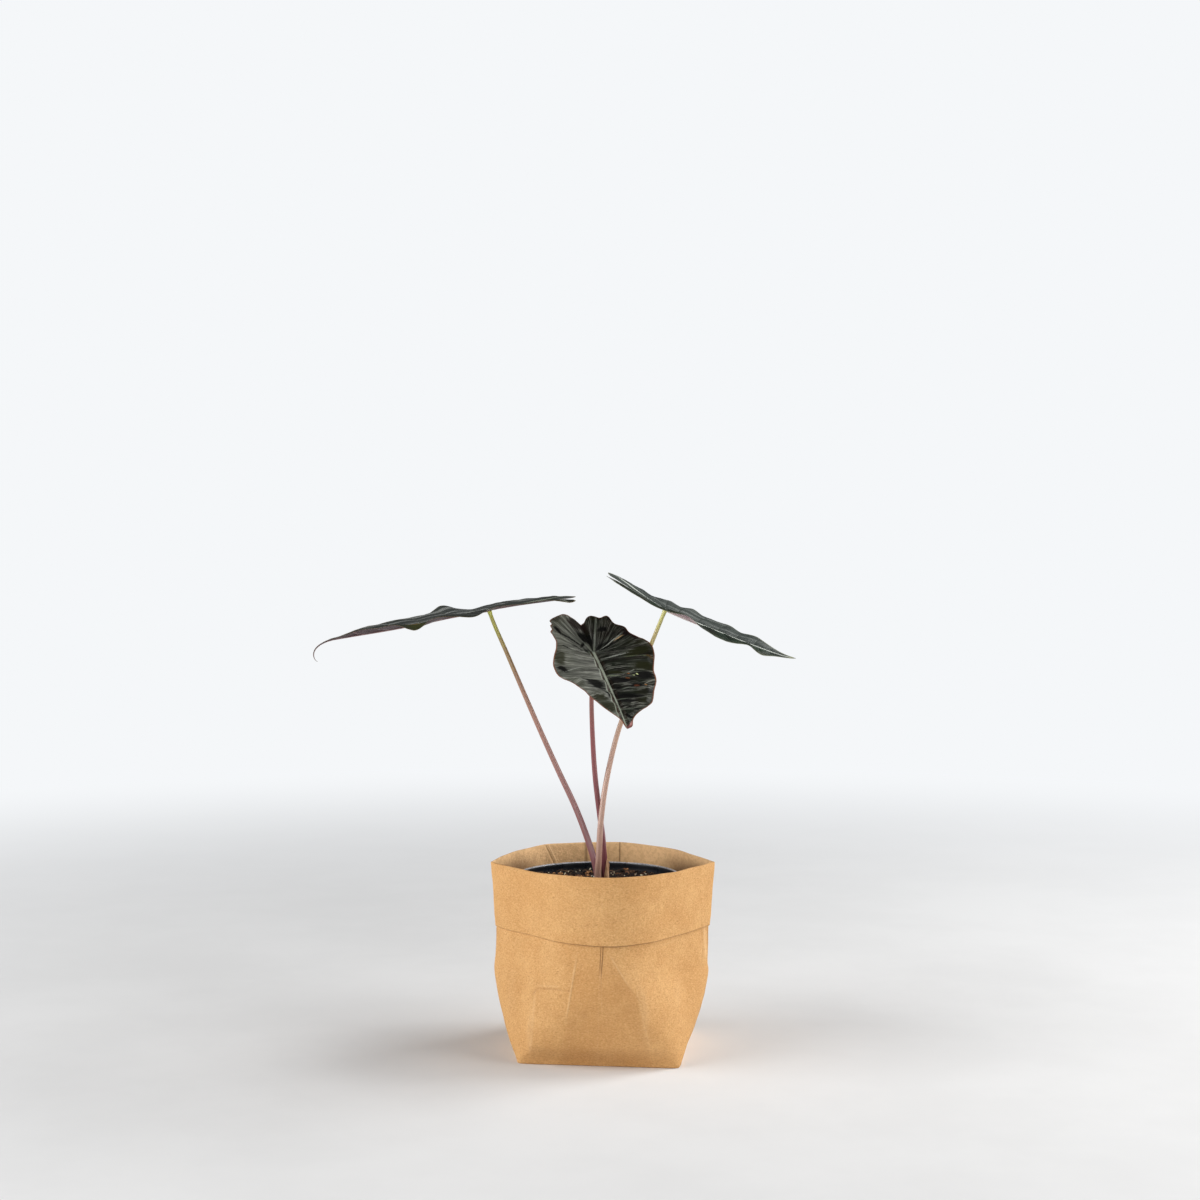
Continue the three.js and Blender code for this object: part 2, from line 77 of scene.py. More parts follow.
# Centripetal Catmull-Rom curve through the corners, then the same number of even steps along its length.
def smoothLine(corners, count):
    p = np.asarray(corners, float)
    p = np.vstack([2 * p[0] - p[1], p, 2 * p[-1] - p[-2]])
    knot = np.sqrt(np.linalg.norm(np.diff(p, axis=0), axis=1))[:, None]
    spans = len(p) - 3
    t = np.linspace(0, spans, spans * 60 + 1)
    i = np.minimum(t.astype(int), spans - 1)
    f = (t - i)[:, None]
    a, b, c, d = p[i], p[i + 1], p[i + 2], p[i + 3]
    before, here, after = knot[i], knot[i + 1], knot[i + 2]
    leave = ((b - a) / before - (c - a) / (before + here) + (c - b) / here) * here
    arrive = ((c - b) / here - (d - b) / (here + after) + (d - c) / after) * here
    line = ((2 * f**3 - 3 * f**2 + 1) * b + (f**3 - 2 * f**2 + f) * leave
            + (3 * f**2 - 2 * f**3) * c + (f**3 - f**2) * arrive)
    walked = lengthWalked(line)
    return readOff(np.linspace(0, walked[-1], count), walked, line)


# Smooth random field between about -1 and 1: a sum of plane waves in random directions, each octave
# half as long and half as strong as the last.
def softNoise(points, size, seed, octaves=2):
    rng = np.random.default_rng(seed)
    total = np.zeros(points.shape[:-1])
    for octave in range(octaves):
        wave = rng.normal(size=(9, points.shape[-1]))
        wave /= np.linalg.norm(wave, axis=1)[:, None]
        wave *= fullTurn / (size * rng.uniform(0.7, 1.4, 9) / 2**octave)[:, None]
        phase = rng.uniform(0, fullTurn, 9)
        total += np.sin(points @ wave.T + phase).sum(-1) / 4.2 / 2**octave
    return total


# Even angles of a full turn.
def anglesOf(count):
    return np.linspace(0, fullTurn, count, endpoint=False)


# Points round an upright axis: x and y are the middle plus the radius times cosine and sine.
def roundAxis(middle, radius, angle, z):
    x, y = middle[0] + radius * np.cos(angle), middle[1] + radius * np.sin(angle)
    return np.stack([x, y, z + 0 * x], -1)


# Spreads number fields to one shape and stacks them, one column for each.
def stackFields(*fields):
    return np.stack(np.broadcast_arrays(*fields), -1).astype(float)


# Quads between the neighbours of a grid of points, row by row; wrap joins the last column to the first.
def gridQuads(rows, columns, wrap=True):
    r = np.arange(rows - 1)[:, None]
    c = np.arange(columns if wrap else columns - 1)[None, :]
    n = (c + 1) % columns
    quads = np.stack([r * columns + c, r * columns + n, (r + 1) * columns + n, (r + 1) * columns + c], -1)
    return quads.reshape(-1, 4)


# The same quads again for each of many copies of a small grid.
def copiedQuads(count, rows, columns):
    return (gridQuads(rows, columns)[None] + rows * columns * np.arange(count)[:, None, None]).reshape(-1, 4)


# A mesh from points in millimetres, with its faces turned outwards. The volume is the sum of the tetrahedra
# from the origin, and below zero means inside out.
def newMesh(name, points, quads):
    a, b, c, d = (points[quads[:, k]] for k in range(4))
    if (np.cross(a, b) * c).sum() + (np.cross(a, c) * d).sum() < 0:
        quads = quads[:, ::-1]
    mesh = bpy.data.meshes.new(name)
    mesh.from_pydata((points * mm).tolist(), [], quads.tolist())
    return mesh


# Joins the doubled points at seams and poles.
def mergeSeams(mesh):
    work = bmesh.new()
    work.from_mesh(mesh)
    bmesh.ops.remove_doubles(work, verts=work.verts, dist=seamGap)
    work.to_mesh(mesh)
    work.free()


def addObject(name, data):
    thing = bpy.data.objects.new(name, data)
    bpy.context.scene.collection.objects.link(thing)
    return thing


# One piece from a grid of points, or from points and quads. It rides on the only body. Fields are numbers
# or vectors for each point, and facePaint picks each face's material.
def makePiece(name, points, materials, replaced=(), quads=None, fields=None, facePaint=None):
    quads = gridQuads(*points.shape[:2]) if quads is None else quads
    points = points.reshape(-1, 3)
    mesh = newMesh(name, points, quads)
    for key, values in (fields or {}).items():
        kind, part = ("FLOAT_VECTOR", "vector") if values.size == points.size else ("FLOAT", "value")
        mesh.attributes.new(key, kind, "POINT").data.foreach_set(part, values.astype(np.float32).ravel())
    for material in materials:
        mesh.materials.append(material)
    if facePaint is not None:
        mesh.polygons.foreach_set("material_index", facePaint.astype(np.int32))
    mergeSeams(mesh)
    mesh.polygons.foreach_set("use_smooth", np.ones(len(mesh.polygons), bool))
    mesh.update()
    piece = addObject(name, mesh)
    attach(piece, "root")
    if replaced:
        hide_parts(*replaced)
    print(f"  {name}: {sum(len(p.vertices) - 2 for p in mesh.polygons)} triangles")
    return piece


# Small helpers for materials.

# A value in a material's tree. Sums with it put Math nodes.
class Term:
    def __init__(self, tree, socket):
        self.tree = tree
        self.socket = socket

    def __add__(self, other):
        return mathOn(self.tree, "ADD", self, other)

    def __sub__(self, other):
        return mathOn(self.tree, "SUBTRACT", self, other)

    def __rsub__(self, other):
        return mathOn(self.tree, "SUBTRACT", other, self)

    def __mul__(self, other):
        return mathOn(self.tree, "MULTIPLY", self, other)

    def __truediv__(self, other):
        return mathOn(self.tree, "DIVIDE", self, other)

    def __rtruediv__(self, other):
        return mathOn(self.tree, "DIVIDE", other, self)

    def __abs__(self):
        return mathOn(self.tree, "ABSOLUTE", self)

    # Goes smoothly from start to end while the value goes from low to high, and is held at both ends.
    def spread(self, low, high, start=0.0, end=1.0):
        inputs = {"Value": self, "From Min": low, "From Max": high, "To Min": start, "To Max": end}
        return term(self.tree, "MapRange", inputs, interpolation_type="SMOOTHSTEP")


# Feeds one input: a term is linked, a colour gets its alpha, and any other value is set.
def feed(target, value):
    if isinstance(value, Term):
        value.tree.links.new(value.socket, target)
    else:
        target.default_value = (*value, 1) if target.type == "RGBA" else value


# Puts a node into a tree with its settings and inputs.
def put(tree, kind, inputs=None, **settings):
    node = tree.nodes.new("ShaderNode" + kind)
    for key, value in settings.items():
        setattr(node, key, value)
    for key, value in (inputs or {}).items():
        feed(node.inputs[key], value)
    return node


def term(tree, kind, inputs=None, output=0, **settings):
    return Term(tree, put(tree, kind, inputs, **settings).outputs[output])


def mathOn(tree, how, *values):
    return term(tree, "Math", dict(enumerate(values)), operation=how)


def vectorOn(tree, how, *values, output=0):
    return term(tree, "VectorMath", dict(enumerate(values)), output, operation=how)


# Colours on a ramp: stops are (place, (r, g, b)).
def ramp(value, stops):
    node = put(value.tree, "ValToRGB", {"Fac": value})
    elements = node.color_ramp.elements
    while len(elements) < len(stops):
        elements.new(0.5)
    for element, (place, colour) in zip(elements, stops):
        element.position = place
        element.color = (*colour, 1)
    return Term(value.tree, node.outputs[0])


# Mixes two colours, each a term or (r, g, b).
def blendColour(share, first, second):
    return term(share.tree, "Mix", {0: share, 6: first, 7: second}, 2, data_type="RGBA")


def noise(vector, scale, detail, rough=0.5, warp=0.0):
    inputs = {"Vector": vector, "Scale": scale, "Detail": detail, "Roughness": rough, "Distortion": warp}
    return term(vector.tree, "TexNoise", inputs, "Fac")


def stretchAlong(vector, share):
    return term(vector.tree, "Mapping", {"Vector": vector, "Scale": (1, 1, share)})


def partsOf(vector):
    return [Term(vector.tree, socket) for socket in put(vector.tree, "SeparateXYZ", {0: vector}).outputs]


def vectorOf(x, y, z=0.0):
    return term(x.tree, "CombineXYZ", {0: x, 1: y, 2: z})


# A node group. Inputs without a default are vectors; build turns the inputs into the outputs.
def makeGroup(name, inputs, outputs, build):
    group = bpy.data.node_groups.new(name, "ShaderNodeTree")
    for label, value in inputs.items():
        kind = "NodeSocketVector" if value is None else "NodeSocketFloat"
        socket = group.interface.new_socket(label, in_out="INPUT", socket_type=kind)
        if value is not None:
            socket.default_value = value
    for label in outputs:
        group.interface.new_socket(label, in_out="OUTPUT", socket_type="NodeSocketFloat")
    start, end = group.nodes.new("NodeGroupInput"), group.nodes.new("NodeGroupOutput")
    found = build(group, *(Term(group, start.outputs[label]) for label in inputs))
    for label, value in zip(outputs, found):
        feed(end.inputs[label], value)
    return group


def placeGroup(tree, group, inputs):
    node = put(tree, "Group", inputs, node_tree=group)
    return {socket.name: Term(tree, socket) for socket in node.outputs}


# Cloudy and grainy masks at two sizes, used by every finish here.
def grainMasks(tree, vector, cloudSize, grainSize):
    cloud = noise(vector, 1000.0 / cloudSize, 4, 0.6).spread(0.32, 0.68)
    grain = noise(vector, 1000.0 / grainSize, 5, 0.65).spread(0.3, 0.7)
    return cloud, grain, cloud * 0.35 + grain


# Soft lines from a count that runs across a surface. The distance to the next whole number times the gap
# is the distance in millimetres to the line.
def veinMasks(tree, count, gap, run, width):
    part = abs(mathOn(tree, "FRACT", count + 0.5) - 0.5)
    ratio = part * gap / (width * (run * -0.65 + 1.0))
    return ratio.spread(1.0, 0.35), part.spread(0.05, 0.5)


# One crisp pressed line: run and off are the lengths along it and away from it, and each fades the mask.
# The depth of the sheet, y, hardly counts.
def pressedMask(tree, vector, middle, along, half, width):
    away = vectorOn(tree, "SUBTRACT", vector, middle)
    run = vectorOn(tree, "DOT_PRODUCT", away, along, output="Value")
    back = term(tree, "VectorMath", {0: along, "Scale": run}, operation="SCALE")
    beside = vectorOn(tree, "MULTIPLY", vectorOn(tree, "SUBTRACT", away, back), (1, 0.06, 1))
    off = vectorOn(tree, "LENGTH", beside, output="Value")
    return [(off / width).spread(1.0, 0.0) * (abs(run) / half).spread(1.0, 0.4)]


grainGroup = makeGroup("grainAndCloud", {"Vector": None, "Cloud Size": 20, "Grain Size": 1},
                       ["Cloud", "Grain", "Height"], grainMasks)
veinGroup = makeGroup("veinLines", {"Count": 0, "Gap": 5, "Run": 0, "Width": 0.5},
                      ["Line", "Between"], veinMasks)
pressedGroup = makeGroup("pressedLine",
                         {"Vector": None, "Middle": None, "Along": None, "Half": 0, "Width": 0},
                         ["Mask"], pressedMask)


# A material in the making: its tree, its shader and the colour laid on so far. Constants go on the
# shader's own sockets.
class Finish:
    def __init__(self, name, constants):
        self.material = bpy.data.materials.new(name)
        self.material.use_nodes = True
        self.tree = self.material.node_tree
        self.shader = self.tree.nodes["Principled BSDF"].inputs
        self.place = term(self.tree, "TexCoord", output="Object")
        for key, value in constants.items():
            self.shader[key].default_value = value

    def grain(self, cloudSize, grainSize):
        inputs = {"Vector": self.place, "Cloud Size": cloudSize, "Grain Size": grainSize}
        return placeGroup(self.tree, grainGroup, inputs)

    def field(self, name, output="Vector"):
        return term(self.tree, "Attribute", output=output, attribute_name=name)

    # Lays tones over the colour, each by its own share.
    def over(self, *layers):
        for share, tone in layers:
            self.colour = blendColour(share, self.colour, tone)

    # Joins the colour, a relief with its strength and depth in millimetres, and any roughness to the shader.
    def close(self, height, strength, depth, roughness=None):
        feed(self.shader["Base Color"], self.colour)
        if roughness:
            feed(self.shader["Roughness"], roughness)
        inputs = {"Height": height, "Strength": strength, "Distance": depth * mm}
        feed(self.shader["Normal"], term(self.tree, "Bump", inputs))
        return self.material


# Camera, light and floor.

cameraValues = {
    "place": (-1.9, -1300, 338.5),
    "pitch": 2.15,              # degrees down
    "lens": 60.69,              # 2023 pixels on a frame of 1200
    "sensor": 36,
    "clip": (0.05, 60),
}


def makeCamera(v):
    data = bpy.data.cameras.new("camera")
    data.sensor_width = v["sensor"]
    data.lens = v["lens"]
    data.clip_start, data.clip_end = v["clip"]
    camera = addObject("camera", data)
    camera.location = [k * mm for k in v["place"]]
    camera.rotation_euler = (math.radians(90 - v["pitch"]), 0, 0)
    bpy.context.scene.camera = camera


lightValues = {
    "softboxes": [             # name, place, size, watts
        ("leftSoftbox", (-1.45, -0.50, 0.66), (1.4, 1.3), 29),
        ("rightSoftbox", (1.45, -0.45, 0.74), (1.3, 1.3), 20.5),
        ("topSoftbox", (1.00, 0.40, 1.15), (0.75, 0.6), 13),
        ("frontSoftbox", (0.10, -1.70, 0.14), (1.6, 0.25), 4),
    ],
    "aim": (0, 0, 0.15),
    "backdrop": (0.913, 0.930, 0.948),  # what the camera sees behind the plant
    "behind": (0.085, 0.087, 0.09),     # what lights the plant, by direction
    "inFront": (0.23, 0.23, 0.24),
    "above": (0.045, 0.045, 0.05),
}


def makeLights(v):
    for name, place, size, watts in v["softboxes"]:
        data = bpy.data.lights.new(name, "AREA")
        data.shape = "RECTANGLE"
        data.size, data.size_y = size
        data.energy = watts
        lamp = addObject(name, data)
        lamp.location = place
        x, y, z = np.array(place) - np.array(v["aim"])
        lamp.rotation_euler = (math.atan2(math.hypot(x, y), z), 0, math.atan2(y, x) + math.pi / 2)
    world = bpy.data.worlds.new("studio")
    bpy.context.scene.world = world
    world.use_nodes = True
    tree = world.node_tree
    _, depth, rise = partsOf(term(tree, "TexCoord", output="Generated"))
    room = blendColour(depth.spread(-0.5, 0.6), v["inFront"], v["behind"])
    room = blendColour(rise.spread(0.15, 0.65), room, v["above"])
    seen = term(tree, "LightPath", output="Is Camera Ray")
    feed(tree.nodes["Background"].inputs["Color"], blendColour(seen, room, v["backdrop"]))


floorValues = {
    "reach": 9000,
    "pale": (0.77, 0.77, 0.765),
    "shade": (0.74, 0.74, 0.735),
    "fade": (0.22, 1.5),        # metres from the plant over which it turns into the backdrop
    "points": 9,
}


# A level square at height zero.
def makeFloor(v, backdrop):
    finish = Finish("paleFloor", {"Roughness": 0.55, "Emission Strength": 1, "Specular IOR Level": 0})
    grain = finish.grain(140, 1.5)
    away = vectorOn(finish.tree, "LENGTH", finish.place, output="Value").spread(*v["fade"])
    finish.colour = blendColour(grain["Cloud"], v["pale"], v["shade"])
    finish.over((away, (0, 0, 0)))
    feed(finish.shader["Emission Color"], blendColour(away, (0, 0, 0), backdrop))
    line = np.linspace(-1, 1, v["points"]) * v["reach"]
    x, y = np.meshgrid(line, line)
    points = np.stack([x, y, 0 * x], -1).reshape(-1, 3)
    mesh = newMesh("floor", points, gridQuads(v["points"], v["points"], wrap=False))
    mesh.materials.append(finish.close(grain["Grain"], 0.05, 0.2))
    floor = addObject("floor", mesh)


makeCamera(cameraValues)
makeLights(lightValues)
makeFloor(floorValues, lightValues["backdrop"])
bpy.context.scene.view_settings.view_transform = "Standard"
print("stage: camera, softboxes, floor")


# Paper bag.

bagValues = {
    "paper": 0.5,
    "cuffGap": 0.3,
    "mouthHeight": 121.3,
    "mouthRiseAtBack": 1.5,
    "cuffFoot": 80.3,
    "cuffSagInFront": 2,
    "mouthDip": 0.9,            # how far the mouth's front corners hang
    "cuffFlare": 0.5,           # how far the cuff's foot stands off in front
    "splitHeight": 54,          # where each upright fold opens into the base's flat triangle
    "belly": 1.8,
    "baseSide": 102,
    "baseTurn": -6.5,
    "baseMiddle": (2.6, 2.9),
    "cornerShare": 0.03,
    "cornerLength": 97,         # of the soft corner between two folds
    "folds": {                  # outside, at the mouth, the cuff's foot and the split
        "left": [(-72.1, -4), (-68.9, -4), (-69.7, -2)],
        "front": [(-0.7, -64.6), (-0.7, -63), (-1.5, -62.5)],
        "right": [(72.1, -4.2), (68.6, -4), (67.1, -3)],
        "back": [(11.3, 67), (11, 65), (9.5, 65)],
    },
    "mouthCorners": {
        "left": [(-65.4, -14.8), (-52.2, -28.6), (-39.2, -43.2), (-26.5, -54), (-12, -61)],
        "front": [(12, -64.5), (22.6, -59.3), (35.2, -49.7), (48.1, -36), (61.4, -19.4)],
        "right": [(66, 9), (57, 23), (48, 42), (34, 54), (20, 64)],
        "back": [(-5, 67), (-22, 64), (-39, 58), (-52, 43), (-61, 28)],
    },
    "foldZone": 9,              # width of the finer columns at each fold
    "foldColumns": 27,
    "arcColumns": 64,
    "frontBlur": [(0, 2.2), (12, 4.5), (60, 5), (121, 6)],      # height, width of the rounding
    "sideBlur": [(0, 1.6), (20, 2.5), (50, 2.7), (62, 1.6), (85, 0.7), (121, 0.3)],
    "bulge": [                  # across the front: place, height
        (-50, 0), (-43, 2.9), (-22, 5.4), (-5, 5.6), (24, 5.4), (36, 2.6), (52, -0.8),
    ],
    "crumple": 0.32,            # soft unevenness of the sheet
    "creases": [                # middle, direction, half length, half width, height
        ((-38.5, -50, 50.5), (1, -0.35, 0.22), 6, 0.9, 1.1),
        ((-39.5, -49, 47.8), (1, -0.35, 0.30), 7, 1.3, -1.0),
        ((-19.5, -59, 50), (-0.15, 0, -1), 15, 0.8, 0.65),
        ((-17.0, -59, 48), (-0.15, 0, -1), 17, 1.5, -0.6),
        ((-24, -57, 26), (-0.12, 0, -1), 14, 1.4, 0.55),
        ((-43.5, -45, 26), (-0.06, 0, -1), 17, 1.4, 0.8),
        ((-39, -50, 64), (-0.3, 0, -1), 13, 1.5, 0.6),
        ((11, -60, 63), (0.55, 0, -1), 10, 1.4, 0.6),
        ((24, -57, 34), (0.2, 0.05, -1), 20, 1.5, 0.8),
        ((16, -59, 50), (1, 0.1, 0.05), 9, 1.3, -0.5),
        ((-12, -57, 20), (0.8, 0, 1), 12, 1.5, 0.3),
        ((20, -57, 14), (1, 0.1, -0.2), 15, 2.2, 0.3),
        ((-30, -52, 22), (1, -0.2, 0.35), 12, 2.4, -0.35),
        ((44, -38, 40), (0.3, 0.3, 1), 20, 2.5, 0.35),
        ((-55, -25, 36), (-0.2, 0.2, 1), 20, 2.6, 0.35),
        ((26, -58, 88), (1, 0.4, -0.12), 16, 1.7, 0.22),
        ((34, -50, 84), (1, 0.5, 0.1), 13, 1.4, -0.2),
        ((-42, -40, 100), (0.2, -0.15, 1), 14, 3.0, 0.25),
        ((0, -64, 94), (1, 0, 0.1), 24, 3.2, -0.22),
        ((-38, 56, 112), (0.4, 0.1, 1), 12, 1.6, 0.7),
        ((-33, 58, 112), (0.5, 0.1, 1), 12, 1.4, -0.6),
        ((-45, 51, 108), (0.3, 0.2, 1), 12, 2.0, -0.5),
        ((44, 45, 110), (-0.2, 0.2, 1), 13, 2.4, 0.5),
        ((60, 15, 60), (0.1, 0.1, 1), 24, 3, 0.4),
        ((-60, 24, 66), (0.1, 0.1, 1), 24, 3, -0.4),
        ((-20, 64, 50), (1, 0.1, 0.4), 16, 2.6, 0.4),
        ((30, 57, 40), (1, -0.4, -0.4), 16, 2.6, -0.4),
    ],
    # the fine pressed lines below are darkened in colour as painted shade and sunk in the bump
    "valleys": [                # fine pressed lines: middle, direction, half length, half width, strength
        ((-34, -51, 49.9), (1, 0, 0.14), 6, 0.9, 0.42),
        ((-42.6, -46, 46.6), (0.8, 0, 0.9), 2.4, 0.8, 0.34),
        ((-24, -58, 50.4), (1, 0, 0.02), 5, 0.9, 0.22),
        ((-1.2, -64, 62), (0.02, 0, -1), 12, 0.35, 0.55),
        ((19.5, -60, 49), (0.75, 0, -1), 6, 1.0, 0.26),
        ((11, -61, 52), (1, 0, 0.06), 8, 0.8, 0.15),
        ((9, -62, 62), (1, 0, -0.05), 7, 0.7, 0.12),
        ((-35.5, 60, 115), (0.45, 0.1, -1), 8, 0.9, 0.60),
        ((-20, -61, 90), (1, 0, 0.05), 14, 0.8, 0.07),
        ((30, -54, 97), (1, 0, -0.03), 13, 0.8, 0.07),
        ((63.6, -12.5, 70), (-0.05, 0, 1), 9, 0.8, 0.20),
        ((67.6, -5, 70), (-0.05, 0, 1), 9, 0.7, 0.45),
    ],
    # fine pressed crests, lightened in colour as painted highlight and raised in the bump: middle, direction,
    # half length, half width, strength
    "ridges": [
        ((-19.6, -60, 52), (-0.17, 0, -1), 15, 0.9, 0.42),
        ((-34, -51, 51.3), (1, 0, 0.14), 6, 0.9, 0.28),
        ((-1.0, -64, 50), (0.02, 0, -1), 9, 0.4, 0.30),
        ((10, -61, 63.5), (0.62, 0, -1), 9, 0.9, 0.40),
        ((24.6, -58, 34), (0.21, 0, -1), 14, 1.0, 0.22),
        ((-44, -45, 27), (-0.08, 0, -1), 16, 1.3, 0.30),
        ((-33, 61, 114), (0.45, 0.1, -1), 8, 0.9, 0.35),
        ((44, -42, 76), (1, 0, 0.16), 7, 0.9, 0.16),
        ((65.6, -9.5, 70), (-0.05, 0, 1), 9, 1.3, 0.55),
    ],
    "facetEdges": [(-28.2, 0.173), (31.0, -0.207), (49.6, -0.613)],     # x at the floor and lean of each edge
}
quarters = ["left", "front", "right", "back"]


# Sum of the pressed lines of one list, each at its own strength.
def pressedSum(finish, lines):
    total = 0.0
    for middle, direction, half, width, strength in lines:
        inputs = {"Vector": finish.place, "Middle": [k * mm for k in middle],
                  "Along": list(np.array(direction) / np.linalg.norm(direction)),
                  "Half": half * 1.6 * mm, "Width": width * mm}
        total = placeGroup(finish.tree, pressedGroup, inputs)["Mask"] * strength + total
    return total


# Painted shade on the flat facet under the cuff in front: between leaning straight edges, faded at its top
# and foot, and deeper near its right edge.
def facetShadeMask(x, y, z, edges):
    left, lower, upper = (z * lean + foot * mm for foot, lean in edges)
    fromRight = mathOn(x.tree, "MINIMUM", lower, upper) - x
    inside = (x - left).spread(-0.0008, 0.0022) * fromRight.spread(-0.0008, 0.0016)
    upright = z.spread(0.078, 0.060, 0.35, 1) * y.spread(-0.03, -0.045)
    near = fromRight.spread(0.012, 0.0) * z.spread(0.022, 0.046)
    return inside * upright * (near * 0.7 + 1.0)


def makeKraftPaper(v):
    paper = Finish("kraftPaper", {"Specular IOR Level": 0.35})
    grain, mottle = paper.grain(24, 1.1), paper.grain(6.5, 2.6)
    fibres = noise(stretchAlong(paper.place, 2.4), 1 / (1.5 * mm), 4, 0.6, 0.4)
    dark, wearAndHighlight, inside = partsOf(paper.field("sheetField"))
    valleys, ridges = pressedSum(paper, v["valleys"]), pressedSum(paper, v["ridges"])
    x, y, z = partsOf(paper.place)
    # painted shade in the inner corners just below the mouth, towards both sides
    recessShade = inside * abs(x).spread(0.030, 0.060) * z.spread(0.121, 0.110) * x.spread(-0.03, 0.03, 0.82, 0.97)
    paper.colour = blendColour(grain["Cloud"], (0.625, 0.338, 0.122), (0.705, 0.408, 0.164))
    paper.over(
        (mottle["Cloud"] * 0.28, (0.555, 0.292, 0.102)),
        (grain["Grain"] * 0.50, (0.43, 0.215, 0.070)),
        (fibres.spread(0.50, 0.70, 0.0, 0.40), (0.80, 0.505, 0.250)),
        (fibres.spread(0.45, 0.28, 0.0, 0.65), (0.34, 0.155, 0.048)),
        # inside face paler: partly the paper's own paler inner side, partly painted light falling in at the
        # mouth
        (inside * 0.62, (0.88, 0.595, 0.32)),
        (inside * mottle["Grain"].spread(0.3, 0.8, 0, 0.30), (0.42, 0.215, 0.085)),
        # painted shade in the inner corners
        (recessShade, (0.13, 0.058, 0.022)),
        # painted shade on the front facet under the cuff
        (facetShadeMask(x, y, z, v["facetEdges"]) * 0.17, (0.40, 0.170, 0.042)),
        # painted highlight along the pressed crests
        (mathOn(paper.tree, "MINIMUM", ridges * 0.6, 1.0), (0.86, 0.60, 0.34)),
        # painted shade along the pressed lines
        (mathOn(paper.tree, "MINIMUM", valleys * 0.75, 1.0), (0.30, 0.130, 0.042)),
        # lighter edges: wear on the folds, with painted highlight on fold edges and crease crests
        (wearAndHighlight * 0.5, (0.78, 0.52, 0.28)),
        # dark marks: painted shadow under the cuff's foot, painted shade in the pleat grooves and at the
        # lap's edges, and a darker line along the lip
        (dark, (0.155, 0.068, 0.026)),
    )
    height = mottle["Height"] * 0.8 + grain["Height"] + fibres + (ridges - valleys) * 5.0
    return paper.close(height, 0.6, 0.22, grain["Grain"].spread(0, 1, 0.72, 0.9))


# Where an upright fold stands at each height: straight between the split, the cuff's foot and the mouth.
def foldPlace(v, name, height):
    stations = [v["splitHeight"], v["cuffFoot"], v["mouthHeight"]]
    return readOff(np.maximum(height, v["splitHeight"]), stations, v["folds"][name][::-1])


# A point on the soft corner between a fold and the next: the mouth's curve, moved with its two folds, and
# under the split drawn straight towards the base's corner. Also gives the corner's length.
def arcPlace(v, quarter, share, height):
    name, after = quarters[quarter % 4], quarters[(quarter + 1) % 4]
    curve = smoothLine([v["folds"][name][0], *v["mouthCorners"][name], v["folds"][after][0]], 400)
    share = np.clip(share, 0, 1)
    point = readOff(share, np.linspace(0, 1, 400), curve)
    start = foldPlace(v, name, height) - v["folds"][name][0]
    end = foldPlace(v, after, height) - v["folds"][after][0]
    point = point + start * (1 - share[..., None]) + end * share[..., None]
    turn = math.radians(v["baseTurn"] + 90 * (quarter % 4) + 225)
    reach = v["baseSide"] / math.sqrt(2)
    corner = np.array(v["baseMiddle"]) + reach * np.array([math.cos(turn), math.sin(turn)])
    opened = np.clip(height / v["splitHeight"], v["cornerShare"], 1)
    return corner + (point - corner) * opened[..., None], v["cornerLength"] * opened


# The bag's plan, one row for each height. Each fold has a zone of fine columns that spans its flat triangle
# under the split; the rest are the soft corners. Also gives the distance to the fold's middle.
def bagPlan(v, heights):
    level = heights[:, None] + np.zeros((1, v["foldColumns"]))
    rows, offsets = [], []
    opened = np.clip(heights / v["splitHeight"], v["cornerShare"], 1)
    for quarter in range(4):
        a, lengthBefore = arcPlace(v, quarter - 1, np.ones_like(level), level)
        b, lengthAfter = arcPlace(v, quarter, np.zeros_like(level), level)
        width = np.linalg.norm(b - a, axis=-1)
        zone = np.sqrt(width**2 + v["foldZone"] ** 2 * opened[:, None] ** 2)
        t = np.linspace(-1, 1, v["foldColumns"])[None, :]
        x = np.sign(t) * np.abs(t) ** 1.25 * zone / 2
        before, _ = arcPlace(v, quarter - 1, 1 - (-x - width / 2) / lengthBefore, level)
        after, _ = arcPlace(v, quarter, (x - width / 2) / lengthAfter, level)
        flat = a + (b - a) * ((x + width / 2) / np.maximum(width, 1e-6))[..., None]
        isBefore, isAfter = (x < -width / 2)[..., None], (x > width / 2)[..., None]
        point = np.where(isBefore, before, np.where(isAfter, after, flat))
        inset = ((zone - width) / 2 / lengthAfter)[:, :1]
        share = inset + (1 - 2 * inset) * np.linspace(0, 1, v["arcColumns"] + 2)[None, 1:-1]
        arc, _ = arcPlace(v, quarter, share, heights[:, None] + np.zeros_like(share))
        rows += [point, arc]
        offsets += [np.where(np.abs(x) < 1e-9, 1e-9, x), np.full(arc.shape[:2], 99.0)]
    return np.concatenate(rows, 1), np.concatenate(offsets, 1)


# Rounds the plan: each row is walked in even steps, blurred along its length with a bell and read back.
# The blur is wide in front and behind, where the paper rolls softly, and narrow at the side folds.
def softenPlan(plan, heights, blurWidths, steps=1200):
    wave = np.fft.rfftfreq(steps) * fullTurn
    soft = np.empty_like(plan)
    for row, (ring, height) in enumerate(zip(plan, heights)):
        closed = np.vstack([ring, ring[:1]])
        walked = lengthWalked(closed)
        at = np.linspace(0, walked[-1], steps + 1)
        even = readOff(at[:-1], walked, closed)
        blurs = []
        for table in blurWidths:
            width = fromTable(height, table) * steps / walked[-1]
            kept = np.exp(-((wave * width) ** 2) / 2)[:, None]
            smooth = np.fft.irfft(np.fft.rfft(even, axis=0) * kept, steps, axis=0)
            blurs.append(readOff(walked[:-1], at, np.vstack([smooth, smooth[:1]])))
        wide, narrow = blurs
        soft[row] = narrow + (wide - narrow) * softStep(np.abs(ring[:, :1]), 58, 40)
    return soft


